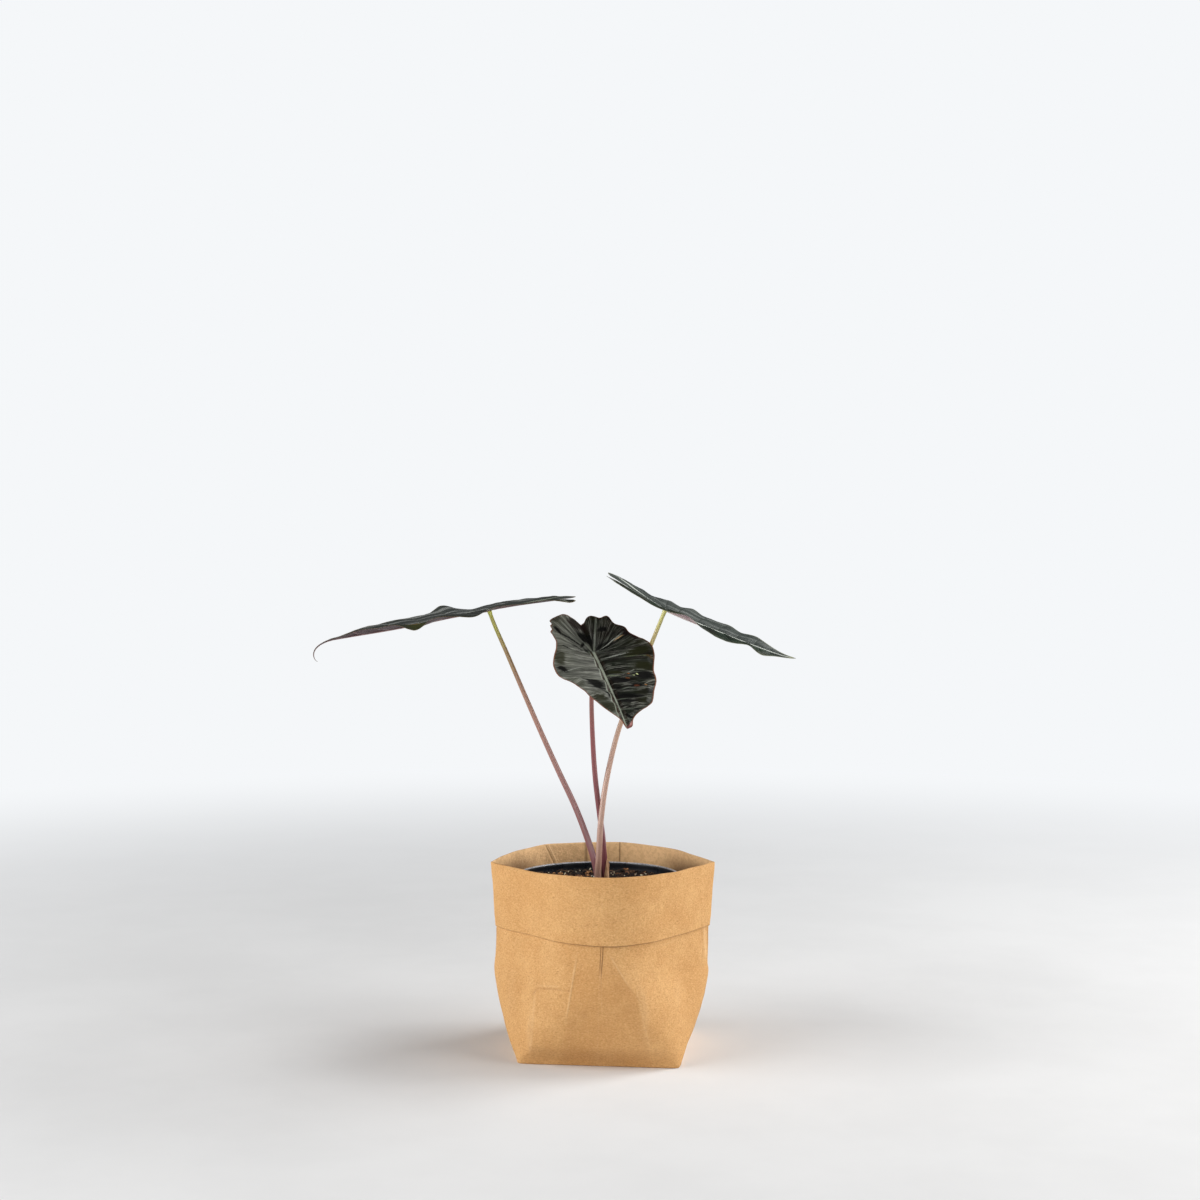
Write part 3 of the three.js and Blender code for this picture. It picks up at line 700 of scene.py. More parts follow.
# Sum of soft ridges: each fades as a bell along its line and across it.
def creaseHeight(points, creases):
    total = np.zeros(points.shape[:-1])
    for middle, direction, half, width, height in creases:
        along = np.array(direction) / np.linalg.norm(direction)
        away = points - np.array(middle)
        run = away @ along
        off = np.linalg.norm(away - run[..., None] * along, axis=-1)
        total += height * bell(run, half) * bell(off, width * math.sqrt(2)) * softStep(off, 14, 8)
    return total


# Rows of the folded sheet from the base's middle up the outside, up inside the cuff, down behind it, round
# its foot, up its outside, over the mouth and down the inside to the base's middle again.
# Each row is (height on the plan, distance inwards, level, mouth share, foot share, shrink to the middle).
def bagRows(v):
    wall = v["paper"] + v["cuffGap"]
    full = wall + v["paper"]
    top, foot, split = v["mouthHeight"], v["cuffFoot"], v["splitHeight"]
    ceiling = top - 2.5
    shrinks = (0, 0.3, 0.6, 0.85, 0.95)
    rows = [(0, 0.9, 0, 0, 0, s) for s in shrinks]
    rows += [(0, 0.9, 0, 0, 0, 1), (0.3, 0.3, 0.25, 0, 0, 1), (1.0, 0.0, 0.9, 0, 0, 1)]
    rows += [(z, wall * softStep(z, split - 6, foot - 6), z, 0, 0, 1) for z in np.linspace(2, foot - 1, 58)]
    hidden = [(z, (z - foot) / (ceiling - foot)) for z in np.linspace(foot, ceiling, 7)]
    rows += [(z, wall, z, share, 0, 1) for z, share in hidden]
    rows += [(z, v["paper"], z, share, 1 - share, 1) for z, share in hidden[::-1]]
    rows += [(foot, 0.34, foot - 0.12, 0, 1, 1), (foot, 0.16, foot - 0.12, 0, 1, 1), (foot, 0, foot, 0, 1, 1)]
    for z in np.linspace(foot + 0.6, top - 1.2, 32):
        share = (z - foot) / (top - foot)
        rows.append((z, 0, z, share, 1 - share, 1))
    for angle in np.radians([25, 50, 75, 90, 105, 130, 155]):
        rows.append((top, full / 2 * (1 - math.cos(angle)), top - 0.9 + 0.9 * math.sin(angle), 1, 0, 1))
    for z in (*np.linspace(top - 1.2, top - 24, 20), *np.linspace(top - 28, foot, 5)):
        rows.append((z, full, z, (z - foot) / (top - foot), 0, 1))
    for z in np.linspace(foot - 4, 1.4, 24):
        rows.append((z, v["paper"] + wall * softStep(z, split - 6, foot - 6), z, 0, 0, 1))
    rows += [(0.5, 0.9, 0.7, 0, 0, 1), (0, 1.4, 0.5, 0, 0, 1)]
    rows += [(0, 1.4, 0.5, 0, 0, s) for s in shrinks[::-1]]
    return np.array(rows, float)


# The pressed pleat under the cuff at the front and the sides: a ridge between two fine grooves, with painted
# shade in the grooves.
def bagPleats(offset, base, below):
    fade = softStep(base[..., 2], 57, 67) * below
    isFront = (np.abs(base[..., 0]) < 12) & (base[..., 1] < 0)
    isSide = np.abs(base[..., 0]) > 55
    share = np.where(isFront, 1.0, np.where(isSide, 0.7, 0.35))
    grooves = bell(np.abs(offset) - 0.65, 0.28) * np.where(offset > 0, 1.0, 0.75)
    return fade * share * (0.22 * bell(offset, 0.5) - 0.3 * grooves), fade * share * grooves * 0.75


# The glued lap inside the back: a strip one sheet thicker between two upright edges, with painted shade along
# both edges.
def backLap(base, inner):
    x, isBack = base[..., 0], softStep(base[..., 1], 45, 55)
    strip = softStep(x, -11.4, -10.8) * softStep(x, 11.9, 11.3) * isBack
    dark = isBack * (0.75 * bell(x + 11.6, 0.6) + 0.6 * bell(x - 11.8, 0.4))
    return strip * 0.45 * inner, dark * inner


# Moves the plan in by its row's distance less the belly, along the plan's own normal, and adds creases.
# The field holds the dark marks (painted shadow under the cuff's foot, painted shade in the pleat grooves and
# along the back lap's edges, a darker line along the lip), the lighter edges (wear on the folds with painted
# highlight on fold edges and crease crests, a lighter band just inside the lip) and the inside.
def makeBag(v):
    rows = bagRows(v)
    height = rows[:, 0]
    _, inwards, level, mouth, foot, shrink = rows.T[:, :, None]
    plan, offset = bagPlan(v, height)
    plan = softenPlan(plan, height, (v["frontBlur"], v["sideBlur"]))
    height = height[:, None]
    step = np.roll(plan, -1, axis=1) - np.roll(plan, 1, axis=1)
    step /= np.maximum(np.linalg.norm(step, axis=-1), 1e-9)[..., None]
    outwards = np.stack([step[..., 1], -step[..., 0]], -1)
    x, y = plan[..., 0], plan[..., 1]
    base = np.stack([x, y, height + 0 * x], -1)
    count = np.arange(len(rows))[:, None]
    lipRow = np.argmax(level)
    inner = count > lipRow
    frontness = np.maximum(0, y / v["folds"]["front"][0][1])
    backness = np.maximum(0, y / v["folds"]["back"][0][1])
    belly = v["belly"] * np.sin(math.pi * np.minimum(1, height / v["splitHeight"]))
    uneven = v["crumple"] * (softNoise(base, 42, 3, 1) + 0.5 * softNoise(base, 19, 5, 2))
    uneven = (uneven + creaseHeight(base, v["creases"])) * softStep(height, 3, 14)
    flare = v["cuffFlare"] * foot**3 * frontness**2
    pleat, pleatShade = bagPleats(offset, base, softStep(height, v["cuffFoot"] + 1, v["cuffFoot"] - 3))
    bulge = fromTable(x, v["bulge"]) * softStep(y, -12, -27)
    bulge = bulge * softStep(height, 1, 15) * softStep(height, 80, 46)
    stretch = fromTable(height, v["sideBlur"]) * 0.5 + 0.25
    sides = stretch * softStep(np.abs(x), 46, 62) * softStep(height, 2, 12)
    lap, lapShade = backLap(base, inner)
    out = belly + sides + bulge + uneven + pleat + flare - inwards - lap
    middle = np.array(v["baseMiddle"])
    xy = middle + (plan + outwards * out[..., None] - middle) * shrink[..., None]
    tilt = v["mouthRiseAtBack"] * mouth * backness - v["cuffSagInFront"] * foot * frontness
    dip = v["mouthDip"] * bell(np.abs(x) - 46, 15) * (y < 0) * mouth**3
    wave = 0.25 * softNoise(base, 30, 11, 1) * (mouth + foot) * (level > 60)
    points = np.concatenate([xy, (level + tilt - dip + wave)[..., None]], -1)
    # painted shadow along the cuff's foot, deepest in front
    cuffFootShadow = (np.abs(level - (v["cuffFoot"] - 0.06)) < 0.2) * (inwards < 0.45)
    rim = bell(count - lipRow, 2.2)
    foldLine = bell(offset, 0.6) * np.where(np.abs(x) > 50, 0.55, 0.12)
    # dark marks: painted shadow under the cuff's foot, painted shade in the pleat grooves and along the lap's
    # edges, and a darker line along the lip
    dark = np.clip((0.32 + 0.6 * frontness**6) * cuffFootShadow + 0.22 * rim + pleatShade + lapShade, 0, 1)
    # crease crests, lightened below as painted highlight
    ridge = np.abs(creaseHeight(base, [c for c in v["creases"] if c[4] > 0.25])) * 0.5
    # wear on the outer folds with painted highlight on fold edges and crease crests, and a lighter band just
    # inside the lip
    wearAndHighlight = np.clip(foldLine * (1 - inner) + ridge + 0.35 * np.roll(rim, 2, axis=0), 0, 1) * (1 - dark)
    fields = {"sheetField": stackFields(dark, wearAndHighlight, inner)}
    return makePiece("paperBag", points, [makeKraftPaper(v)], ["paper_bag"], fields=fields)


makeBag(bagValues)
print("stage: paper bag")


# Nursery pot and potting mix.

potValues = {
    "middle": (-3, 1),
    "foot": 0.8,
    "height": 111.2,
    "rimRadius": 53.6,
    "lipWidth": 2.4,
    "bandRadius": 53,
    "bandHeight": 9,
    "neckRadius": 51.2,
    "baseRadius": 39,
    "wall": 0.9,
    "floor": 1.5,
    "drainHoles": 6,
    "drainRadius": 3.5,
    "drainCircle": 26,
    "segments": 240,
    "pushAtBack": 2.0,          # the thin rim is pressed in a little behind
    "mixTop": 106.6,
    "mixCrown": 1.2,
    "mixSegments": 300,
    "mixLevels": [104.5, 100.5, 90, 70, 50, 30, 12],
    "litterRadius": 48.5,
}


# The pot's upper part is pressed in at the back: less depth with the fourth power of the sine, and more
# towards the rim.
def pressBack(v, points):
    out = points.copy()
    dx, dy = points[..., 0] - v["middle"][0], points[..., 1] - v["middle"][1]
    sine = np.clip(dy / np.maximum(np.hypot(dx, dy), 1e-6), 0, 1)
    share = np.clip(np.hypot(dx, dy) / 50, 0, 1) ** 2
    out[..., 1] -= v["pushAtBack"] * sine**4 * softStep(points[..., 2], 55, 112) * share
    return out


def makePotPlastic():
    plastic = Finish("potPlastic", {})
    grain, dust = plastic.grain(18, 0.5), plastic.grain(7, 1.1)
    lipHighlight = plastic.field("lipHighlight", "Fac")
    plastic.colour = blendColour(grain["Cloud"], (0.0085, 0.0105, 0.0145), (0.013, 0.0155, 0.021))
    plastic.over((dust["Cloud"] * dust["Grain"] * 0.10, (0.16, 0.14, 0.12)),
                 # painted highlight along the rolled lip, broken up by the dust grain
                 (lipHighlight * dust["Grain"].spread(0, 1, 0.35, 1), (0.56, 0.57, 0.60)))
    return plastic.close(grain["Height"], 0.12, 0.08, dust["Cloud"].spread(0, 1, 0.24, 0.42))


# A profile of (radius, height) turned round an upright axis.
def turnProfile(profile, segments, middle):
    radius, z = np.array(profile, float).T[:, :, None]
    return roundAxis(middle, radius, anglesOf(segments)[None, :], z)


# The profile goes up the outside, over the rolled lip and down the inside to the middle of the floor.
def makePot(v):
    foot, top = v["foot"], v["foot"] + v["height"]
    neck, wall, floor = top - v["bandHeight"], v["wall"], v["foot"] + v["floor"]
    rim, band, lip = v["rimRadius"], v["bandRadius"], v["rimRadius"] - v["lipWidth"]
    base, throat = v["baseRadius"], v["neckRadius"]
    arc = np.radians(np.linspace(0, 180, 13))
    outer = [(0, foot), (12, foot), (base - 2.2, foot), (base - 0.8, foot + 0.3), (base, foot + 1.2)]
    outer += zip(np.linspace(base + 0.15, throat, 22), np.linspace(foot + 2.5, neck, 22))
    outer += [(throat + 0.9, neck + 0.25), (band - 0.3, neck + 0.6), (band, neck + 1.1), (band, top - 3.4),
              (band + 0.25, top - 2.9), (rim - 0.05, top - 2.3), (rim, top - 1.8)]
    lipArc = zip((rim + lip) / 2 + v["lipWidth"] / 2 * np.cos(arc), top - 0.85 + 0.85 * np.sin(arc))
    inner = [(lip, top - 1.6), (lip + 0.15, top - 2.2), (band - wall - 0.1, top - 3.2),
             (band - wall, top - 4), (band - wall, neck + 1.8), (band - wall - 0.4, neck + 1.1),
             (throat - wall + 0.2, neck + 0.3)]
    inner += zip(np.linspace(throat - wall, base - wall + 0.2, 22), np.linspace(neck - 0.4, floor + 1.2, 22))
    inner += [(base - wall - 0.6, floor + 0.2), (base - wall - 1.6, floor), (12, floor), (0, floor)]
    profile = np.array([*outer, *lipArc, *inner])
    grid = pressBack(v, turnProfile(profile, v["segments"], v["middle"]))
    # where the painted highlight lies: the top of the rolled lip
    lipHighlight = np.repeat(0.95 * softStep(profile[:, 1], top - 0.75, top - 0.1), v["segments"])
    return makePiece("nurseryPot", grid, [makePotPlastic()], ["nursery_pot"],
                     fields={"lipHighlight": lipHighlight})


# Drain holes: round cutters in a ring, taken out of the pot's floor.
def cutDrainHoles(pot, v):
    low, high, radius = v["foot"] - 2, v["foot"] + 5, v["drainRadius"]
    one = turnProfile([(0, low), (radius, low), (radius, high), (0, high)], 24, (0, 0)).reshape(-1, 3)
    shift = roundAxis(v["middle"], v["drainCircle"], anglesOf(v["drainHoles"]), 0)
    points = (one[None] + shift[:, None]).reshape(-1, 3)
    mesh = newMesh("drainCutters", points, copiedQuads(v["drainHoles"], 4, 24))
    mergeSeams(mesh)
    cutter = addObject("drainCutters", mesh)
    cut = pot.modifiers.new("drainHoles", "BOOLEAN")
    cut.operation, cut.solver, cut.object = "DIFFERENCE", "EXACT", cutter
    bpy.context.view_layer.update()
    done = bpy.data.meshes.new_from_object(pot.evaluated_get(bpy.context.evaluated_depsgraph_get()))
    work = bmesh.new()
    work.from_mesh(done)
    bmesh.ops.triangulate(work, faces=[face for face in work.faces if len(face.verts) > 4])
    bmesh.ops.dissolve_degenerate(work, edges=work.edges, dist=1e-6)
    work.to_mesh(done)
    work.free()
    pot.modifiers.clear()
    pot.data = done
    bpy.data.objects.remove(cutter)


cutDrainHoles(makePot(potValues), potValues)


# The pot's inside radius at a height, less a hair.
def insideRadius(v, z):
    neck = v["foot"] + v["height"] - v["bandHeight"]
    slope = np.interp(z, [v["foot"], neck], [v["baseRadius"], v["neckRadius"]])
    return np.where(z > neck + 1, v["bandRadius"], slope) - v["wall"] - 0.35


# Height of the mix: a low crown with lumps of three sizes.
def mixHeight(v, x, y):
    place = np.stack([x, y], -1)
    out = np.clip(np.hypot(x - v["middle"][0], y - v["middle"][1]) / 50, 0, 1)
    lumps = 0.7 * softNoise(place, 17, 31, 1) + 0.75 * softNoise(place, 6, 32, 2)
    lumps = lumps + 0.45 * np.abs(softNoise(place, 2.6, 33, 2))
    return v["mixTop"] + v["mixCrown"] * (1 - out**2) + lumps * (1 - 0.3 * out**6)


# Points set down on the mix.
def onMix(v, points):
    points[..., 2] = mixHeight(v, points[..., 0], points[..., 1])
    return points


def makeSoilMaterial():
    soil = Finish("pottingMix", {"Roughness": 0.9, "Specular IOR Level": 0.3})
    coarse, fine = soil.grain(6, 1.6), soil.grain(2.2, 0.45)
    soil.colour = blendColour(coarse["Cloud"], (0.006, 0.0045, 0.0035), (0.020, 0.012, 0.008))
    soil.over((coarse["Grain"] * 0.45, (0.0045, 0.0035, 0.003)),
              (fine["Cloud"] * fine["Grain"] * 0.45, (0.060, 0.030, 0.015)))
    return soil.close(coarse["Height"] + fine["Height"], 0.9, 0.7)


# A polar grid of the surface, then down the pot's inside and in along its floor.
def makeMix(v):
    share = np.concatenate([[0, 0.01], np.linspace(0.03, 1, 84) ** 0.9])[:, None]
    edge = insideRadius(v, 105.0)
    top = onMix(v, roundAxis(v["middle"], edge * share, anglesOf(v["mixSegments"])[None, :], 0))
    bottom = v["foot"] + v["floor"] + 0.3
    wall = [(insideRadius(v, z), z) for z in (*v["mixLevels"], bottom)]
    lower = turnProfile([*wall, (24, bottom), (0, bottom)], v["mixSegments"], v["middle"])
    grid = pressBack(v, np.concatenate([top, lower]))
    return makePiece("pottingMix", grid, [makeSoilMaterial()], ["potting_mix"])


makeMix(potValues)

litterValues = {                # finish: stops of the ramp, roughness and grain size
    "barkChips": {
        "count": 330, "long": (1.4, 4.6), "flat": 0.5, "sink": 0.1,
        "finish": ([(0, (0.004, 0.003, 0.002)), (0.62, (0.014, 0.007, 0.004)), (0.84, (0.20, 0.075, 0.028)),
                    (1, (0.66, 0.34, 0.13))], 0.8, 0.7),
    },
    "coarseCrumbs": {
        "count": 760, "long": (0.8, 2.2), "flat": 0.8, "sink": 0.2,
        "finish": ([(0, (0.004, 0.003, 0.003)), (0.65, (0.010, 0.006, 0.005)),
                    (1, (0.12, 0.05, 0.022))], 0.9, 0.4),
    },
    "paleGrains": {
        "count": 110, "long": (0.8, 2.4), "flat": 0.85, "sink": -0.1,
        "finish": ([(0, (0.50, 0.38, 0.18)), (0.4, (0.70, 0.62, 0.42)), (1, (0.85, 0.82, 0.72))], 0.75, 0.4),
    },
    "coirStrands": {
        "count": 220, "long": (4, 15), "radius": (0.10, 0.24),
        "finish": ([(0, (0.022, 0.010, 0.005)), (0.5, (0.075, 0.034, 0.016)),
                    (1, (0.26, 0.145, 0.070))], 0.8, 0.5),
    },
}


def makeLitterMaterial(name, stops, roughness, size):
    litter = Finish(name, {"Roughness": roughness, "Specular IOR Level": 0.35})
    grain = litter.grain(size * 3, size)
    litter.colour = ramp(grain["Grain"] * 0.35 + litter.field("tint", "Fac") * 0.75, stops)
    return litter.close(grain["Height"], 0.6, 0.25)


# Random spots on the mix, evenly by area, kept clear of the wall.
def spotsOnMix(v, rng, count):
    angle = rng.uniform(0, fullTurn, count)
    radius = v["litterRadius"] * np.sqrt(rng.uniform(0, 1, count))
    return onMix(v, roundAxis(v["middle"], radius, angle, 0))


# Random turns as matrices: spun about the vertical, then tipped a little.
def randomTurns(rng, count, tip):
    spin = rng.uniform(0, fullTurn, count)
    lean, way = rng.normal(0, tip, count), rng.uniform(0, fullTurn, count)
    c, s = np.cos(spin), np.sin(spin)
    zero, one = np.zeros(count), np.ones(count)
    flat = np.stack([c, -s, zero, s, c, zero, zero, zero, one], -1).reshape(-1, 3, 3)
    x, y = np.cos(way), np.sin(way)
    cross = np.stack([zero, zero, y, zero, zero, -x, -y, x, zero], -1).reshape(-1, 3, 3)
    rock = np.eye(3) + np.sin(lean)[:, None, None] * cross + (1 - np.cos(lean))[:, None, None] * cross @ cross
    return rock @ flat


# All copies of a small shape as one piece, each copy with a tint of its own.
def makeLitter(name, v, values, rng, points, rows, columns):
    count = values["count"]
    tint = np.repeat(rng.uniform(0, 1, count), rows * columns)
    return makePiece(name, pressBack(v, points.reshape(-1, 3)), [makeLitterMaterial(name, *values["finish"])],
                     quads=copiedQuads(count, rows, columns), fields={"tint": tint})


# Lumps: one ball of 4 by 6 quads, squashed, roughened at its corners, turned and set down, for all at once.
def makeLumps(name, v, values, seed):
    rng = np.random.default_rng(seed)
    count = values["count"]
    polar = np.radians([0, 40, 90, 140, 180])
    ball = turnProfile(np.stack([np.sin(polar), np.cos(polar)], -1), 6, (0, 0)).reshape(-1, 3)
    half = rng.uniform(*values["long"], count) / 2
    size = np.stack([half, half * rng.uniform(0.35, 0.8, count),
                     half * values["flat"] * rng.uniform(0.5, 1, count)], -1)
    rough = 1 + rng.uniform(-0.28, 0.28, (count, 30, 1))
    rough[:, :6] = rough[:, :1]
    rough[:, 24:] = rough[:, 24:25]
    spots = spotsOnMix(v, rng, count)
    spots[:, 2] += size[:, 2] * (1 - 2 * values["sink"])
    turns = randomTurns(rng, count, 0.4).transpose(0, 2, 1)
    points = (ball[None] * rough * size[:, None]) @ turns + spots[:, None]
    piece = makeLitter(name, v, values, rng, points, 5, 6)
    piece.data.polygons.foreach_set("use_smooth", np.zeros(len(piece.data.polygons), bool))


# Strands: a thin four-sided tube of seven steps along a bent line that rests on the mix, for all at once.
def makeStrands(name, v, values, seed):
    rng = np.random.default_rng(seed)
    count = values["count"]
    steps = np.linspace(-0.5, 0.5, 8)[None, :]
    length = rng.uniform(*values["long"], count)[:, None]
    bend = rng.normal(0, 0.5, count)[:, None]
    turn = rng.uniform(0, fullTurn, count)[:, None]
    spots = spotsOnMix(v, rng, count) * [0.93, 0.93, 1]
    heading = turn + bend * steps * 2
    line = roundAxis(spots.T[:2, :, None], length * steps, heading, 0)
    middle = np.array([*v["middle"], 0])
    far = np.linalg.norm(line - middle, axis=-1)[..., None]
    line = onMix(v, middle + (line - middle) * np.minimum(1, v["litterRadius"] / np.maximum(far, 1e-6)))
    line[..., 2] += 0.2 + rng.uniform(0, 1.6, count)[:, None] * (1 - (2 * steps) ** 2)
    radius = rng.uniform(*values["radius"], count)[:, None] * (1 - 0.7 * (2 * np.abs(steps)) ** 3)
    side = np.stack([-np.sin(heading), np.cos(heading), 0 * heading], -1)
    corner = anglesOf(4)[:, None]
    ring = side[:, :, None] * np.cos(corner) + np.array([0, 0, 1.0]) * np.sin(corner)
    points = line[:, :, None] + ring * radius[:, :, None, None]
    points[:, [0, -1]] = line[:, [0, -1], None]
    makeLitter(name, v, values, rng, points, 8, 4)


for number, (name, values) in enumerate(litterValues.items(), 1):
    makeCopies = makeStrands if "radius" in values else makeLumps
    makeCopies(name, potValues, values, randomSeed + number)
print("stage: pot and potting mix")


# Corm and roots: the CAD shape stays, with a better finish.

def makeRootMaterial():
    root = Finish("rootSkin", {"Roughness": 0.7})
    grain = root.grain(5, 0.7)
    root.colour = blendColour(grain["Cloud"], (0.20, 0.115, 0.055), (0.46, 0.33, 0.20))
    root.over((grain["Grain"] * 0.5, (0.09, 0.045, 0.022)))
    return root.close(grain["Height"], 0.6, 0.4)


rootMaterial = makeRootMaterial()
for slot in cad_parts["corm_with_roots"].material_slots:
    slot.material = rootMaterial


# Stalks and the dry sheath.

stalkValues = {
    "left": {
        "route": [(-2.9, 0.4, 96), (-3.2, 0.9, 105), (-3.6, 1.2, 112), (-7.6, 1.9, 127.7),
                  (-17.1, 2.6, 153.7), (-29.1, 3, 179.6), (-40.7, 3, 205.5), (-51.9, 2.4, 231.5),
                  (-62.8, 1.2, 257.4),
                  (-69.8, 0.4, 273.6), (-73, 0, 282.4), (-73.1, 0, 283.3)],
        "radii": (2.2, 1.2),
        "slot": "stalk_mauve",
        "colours": [(0.0, (0.20, 0.085, 0.085)), (0.12, (0.235, 0.095, 0.105)), (0.4, (0.27, 0.120, 0.105)),
                    (0.65, (0.33, 0.165, 0.115)), (0.80, (0.30, 0.165, 0.085)), (0.89, (0.33, 0.24, 0.055)),
                    (1.0, (0.48, 0.50, 0.045))],
        "edge": (0.055, 0.024, 0.028),
        "speckle": 0.04,
    },
    "middle": {
        "route": [(1.2, 3.4, 96), (1.2, 3.4, 107), (0.8, 2.8, 121), (-0.1, 1.4, 134.4), (-1.6, 0, 147.5),
                  (-4.8, -5, 174), (-6.4, -11.5, 197), (-7.3, -22, 227.1), (-6.8, -29, 243.5),
                  (-5.8, -35.7, 257), (-5.7, -36.1, 257.5)],
        "radii": (2.1, 1.25),
        "slot": "stalk_wine",
        "colours": [(0.0, (0.11, 0.030, 0.038)), (0.25, (0.175, 0.042, 0.052)), (0.6, (0.22, 0.052, 0.055)),
                    (0.85, (0.20, 0.070, 0.050)), (1.0, (0.20, 0.13, 0.05))],
        "edge": (0.060, 0.012, 0.020),
        "speckle": 0.2,
    },
    "right": {
        "route": [(-2.9, -5.2, 96), (-3.4, -6, 112), (-2.8, -6.3, 122.6), (-1.3, -6.4, 148.5),
                  (2.3, -5.5, 174.2), (10, -3.6, 206.2), (17.4, -2.5, 225.4), (27, -1.2, 251.1),
                  (36.1, -0.2, 273.6), (39.9, 0, 282.9), (40.2, 0, 283.6)],
        "radii": (2.1, 1.25),
        "slot": "stalk_tan",
        "colours": [(0.0, (0.30, 0.165, 0.12)), (0.2, (0.40, 0.225, 0.165)), (0.5, (0.42, 0.245, 0.17)),
                    (0.72, (0.40, 0.25, 0.135)), (0.9, (0.50, 0.40, 0.14)), (1.0, (0.48, 0.49, 0.10))],
        "edge": (0.16, 0.070, 0.055),
        "speckle": 0.6,
    },
}
stalkSteps, stalkSides = 230, 28


# Skin of a stalk: colours run from its foot to its top, with long streaks, fine dark flecks and ribs.
def makeStalkSkin(name, v):
    skin = Finish(name, {"Coat Weight": 0.5, "Coat Roughness": 0.15})
    run, turn, length = partsOf(skin.field("stalkField"))
    drift = skin.grain(14, 0.8)
    streak = noise(vectorOf(turn * 5.0, length * 0.025), 1.6, 4)
    flecks = term(skin.tree, "TexVoronoi", {"Vector": skin.place, "Scale": 1 / (0.9 * mm)}, "Distance")
    skin.colour = ramp((drift["Cloud"] - 0.5) * 0.06 + run, v["colours"])
    skin.over((streak.spread(0.55, 0.75, 0, 0.25), v["edge"]),
              (streak.spread(0.42, 0.28, 0, 0.25), (0.60, 0.46, 0.38)),
              (flecks.spread(0.32, 0.14, 0, v["speckle"]), v["edge"]))
    return skin.close(streak + drift["Grain"] * 0.4, 0.2, 0.2, drift["Grain"].spread(0, 1, 0.3, 0.48))


# Circles carried along a smooth route. Each circle lies across the route's direction; its two axes come
# from the fixed X axis made square to that direction.
def tubeAlong(line, radius, angle):
    ahead = np.gradient(line, axis=0)
    ahead /= np.linalg.norm(ahead, axis=1)[:, None]
    aside = np.array([1.0, 0, 0]) - ahead[:, :1] * ahead
    aside /= np.linalg.norm(aside, axis=1)[:, None]
    third = np.cross(ahead, aside)
    ring = aside[:, None] * np.cos(angle)[:, None] + third[:, None] * np.sin(angle)[:, None]
    return line[:, None] + ring * radius[..., None]


# Radius falls evenly from foot to top, swells at the foot where the stalk sheathes the next one and a
# little under the blade, and has shallow ribs along it. The first and last rings close on the route's ends.
def makeStalk(name, v, nodeName):
    line = smoothLine(v["route"], stalkSteps)
    run = np.linspace(0, 1, stalkSteps)[:, None]
    angle = anglesOf(stalkSides)
    atFoot, atTop = v["radii"]
    radius = atFoot + (atTop - atFoot) * run + 0.35 * bell(run, 0.1) + 0.35 * bell(run - 1, 0.012)
    ribs = 1 + 0.022 * np.cos(7 * angle) + 0.012 * np.cos(3 * angle + 9 * run)
    ends = line[[0, -1], None] + np.zeros((2, stalkSides, 3))
    grid = np.concatenate([ends[:1], tubeAlong(line, radius * ribs, angle), ends[1:]])
    run = np.concatenate([[[0]], run, [[1]]])
    field = stackFields(run, 1 - np.abs(angle / math.pi - 1), run * lengthWalked(line)[-1])
    return makePiece(name, grid, [makeStalkSkin(name + "Skin", v)], [nodeName],
                     fields={"stalkField": field})


sheathValues = {
    "foot": 102,
    "top": 121,
    "inner": 2.5,
    "wall": 0.32,
    "facing": -35,
    "spanAtFoot": 175,
    "spanAtTop": 40,
    "rows": 44,
    "columns": 40,
}


def makeSheathPaper():
    paper = Finish("drySheath", {"Roughness": 0.65})
    grain = paper.grain(4, 0.5)
    streak = noise(stretchAlong(paper.place, 0.12), 1 / (0.8 * mm), 5, 0.6, 0.3)
    stops = [(0.25, (0.20, 0.095, 0.045)), (0.5, (0.44, 0.25, 0.12)), (0.75, (0.62, 0.42, 0.25))]
    paper.colour = ramp(streak, stops)
    paper.over((grain["Cloud"] * 0.35, (0.24, 0.10, 0.06)))
    return paper.close(streak + grain["Grain"], 0.5, 0.3)


# A curved strip round the middle stalk's foot: its span narrows towards a ragged top, its radius ripples,
# and it closes with its own thickness. The caps join its outside to its inside at the foot and the top.
def makeSheath(v, route):
    height = np.linspace(0, 1, v["rows"])[:, None]
    across = np.linspace(-0.5, 0.5, v["columns"])[None, :]
    ragged = 1.6 * softNoise(np.stack([across[0] * 30, 0 * across[0]], -1), 7, 51, 2)[None, :]
    z = v["foot"] + (v["top"] - v["foot"]) * height + ragged * height**3
    line = smoothLine(route, 300)
    middle = np.moveaxis(readOff(z, line[:, 2], line[:, :2]), -1, 0)
    span = np.radians(v["spanAtFoot"] + (v["spanAtTop"] - v["spanAtFoot"]) * height**1.3)
    angle = math.radians(v["facing"]) + span * across
    ripple = 0.28 * softNoise(np.stack([angle * 3, z], -1), 5, 52, 2) * height
    radius = v["inner"] + ripple + 0.5 * height**3 * np.abs(2 * across)
    outer, inner = (roundAxis(middle, radius + wall, angle, z) for wall in (v["wall"], 0))
    grid = np.concatenate([outer, inner[:, ::-1]], 1)
    count = grid.shape[1]
    left = np.arange(v["columns"] - 1)
    foot = np.stack([left, left + 1, count - 2 - left, count - 1 - left], -1)
    quads = np.concatenate([gridQuads(*grid.shape[:2]), foot[:, ::-1], foot + (len(grid) - 1) * count])
    return makePiece("drySheath", grid, [makeSheathPaper()], ["dry_sheath"], quads)


makeStalk("stalkLeft", stalkValues["left"], "leaf_stalk_left")
makeStalk("stalkMiddle", stalkValues["middle"], "leaf_stalk_middle")
makeStalk("stalkRight", stalkValues["right"], "leaf_stalk_right")
makeSheath(sheathValues, stalkValues["middle"]["route"][:-1])
print("stage: stalks and sheath")


# Leaf blades.

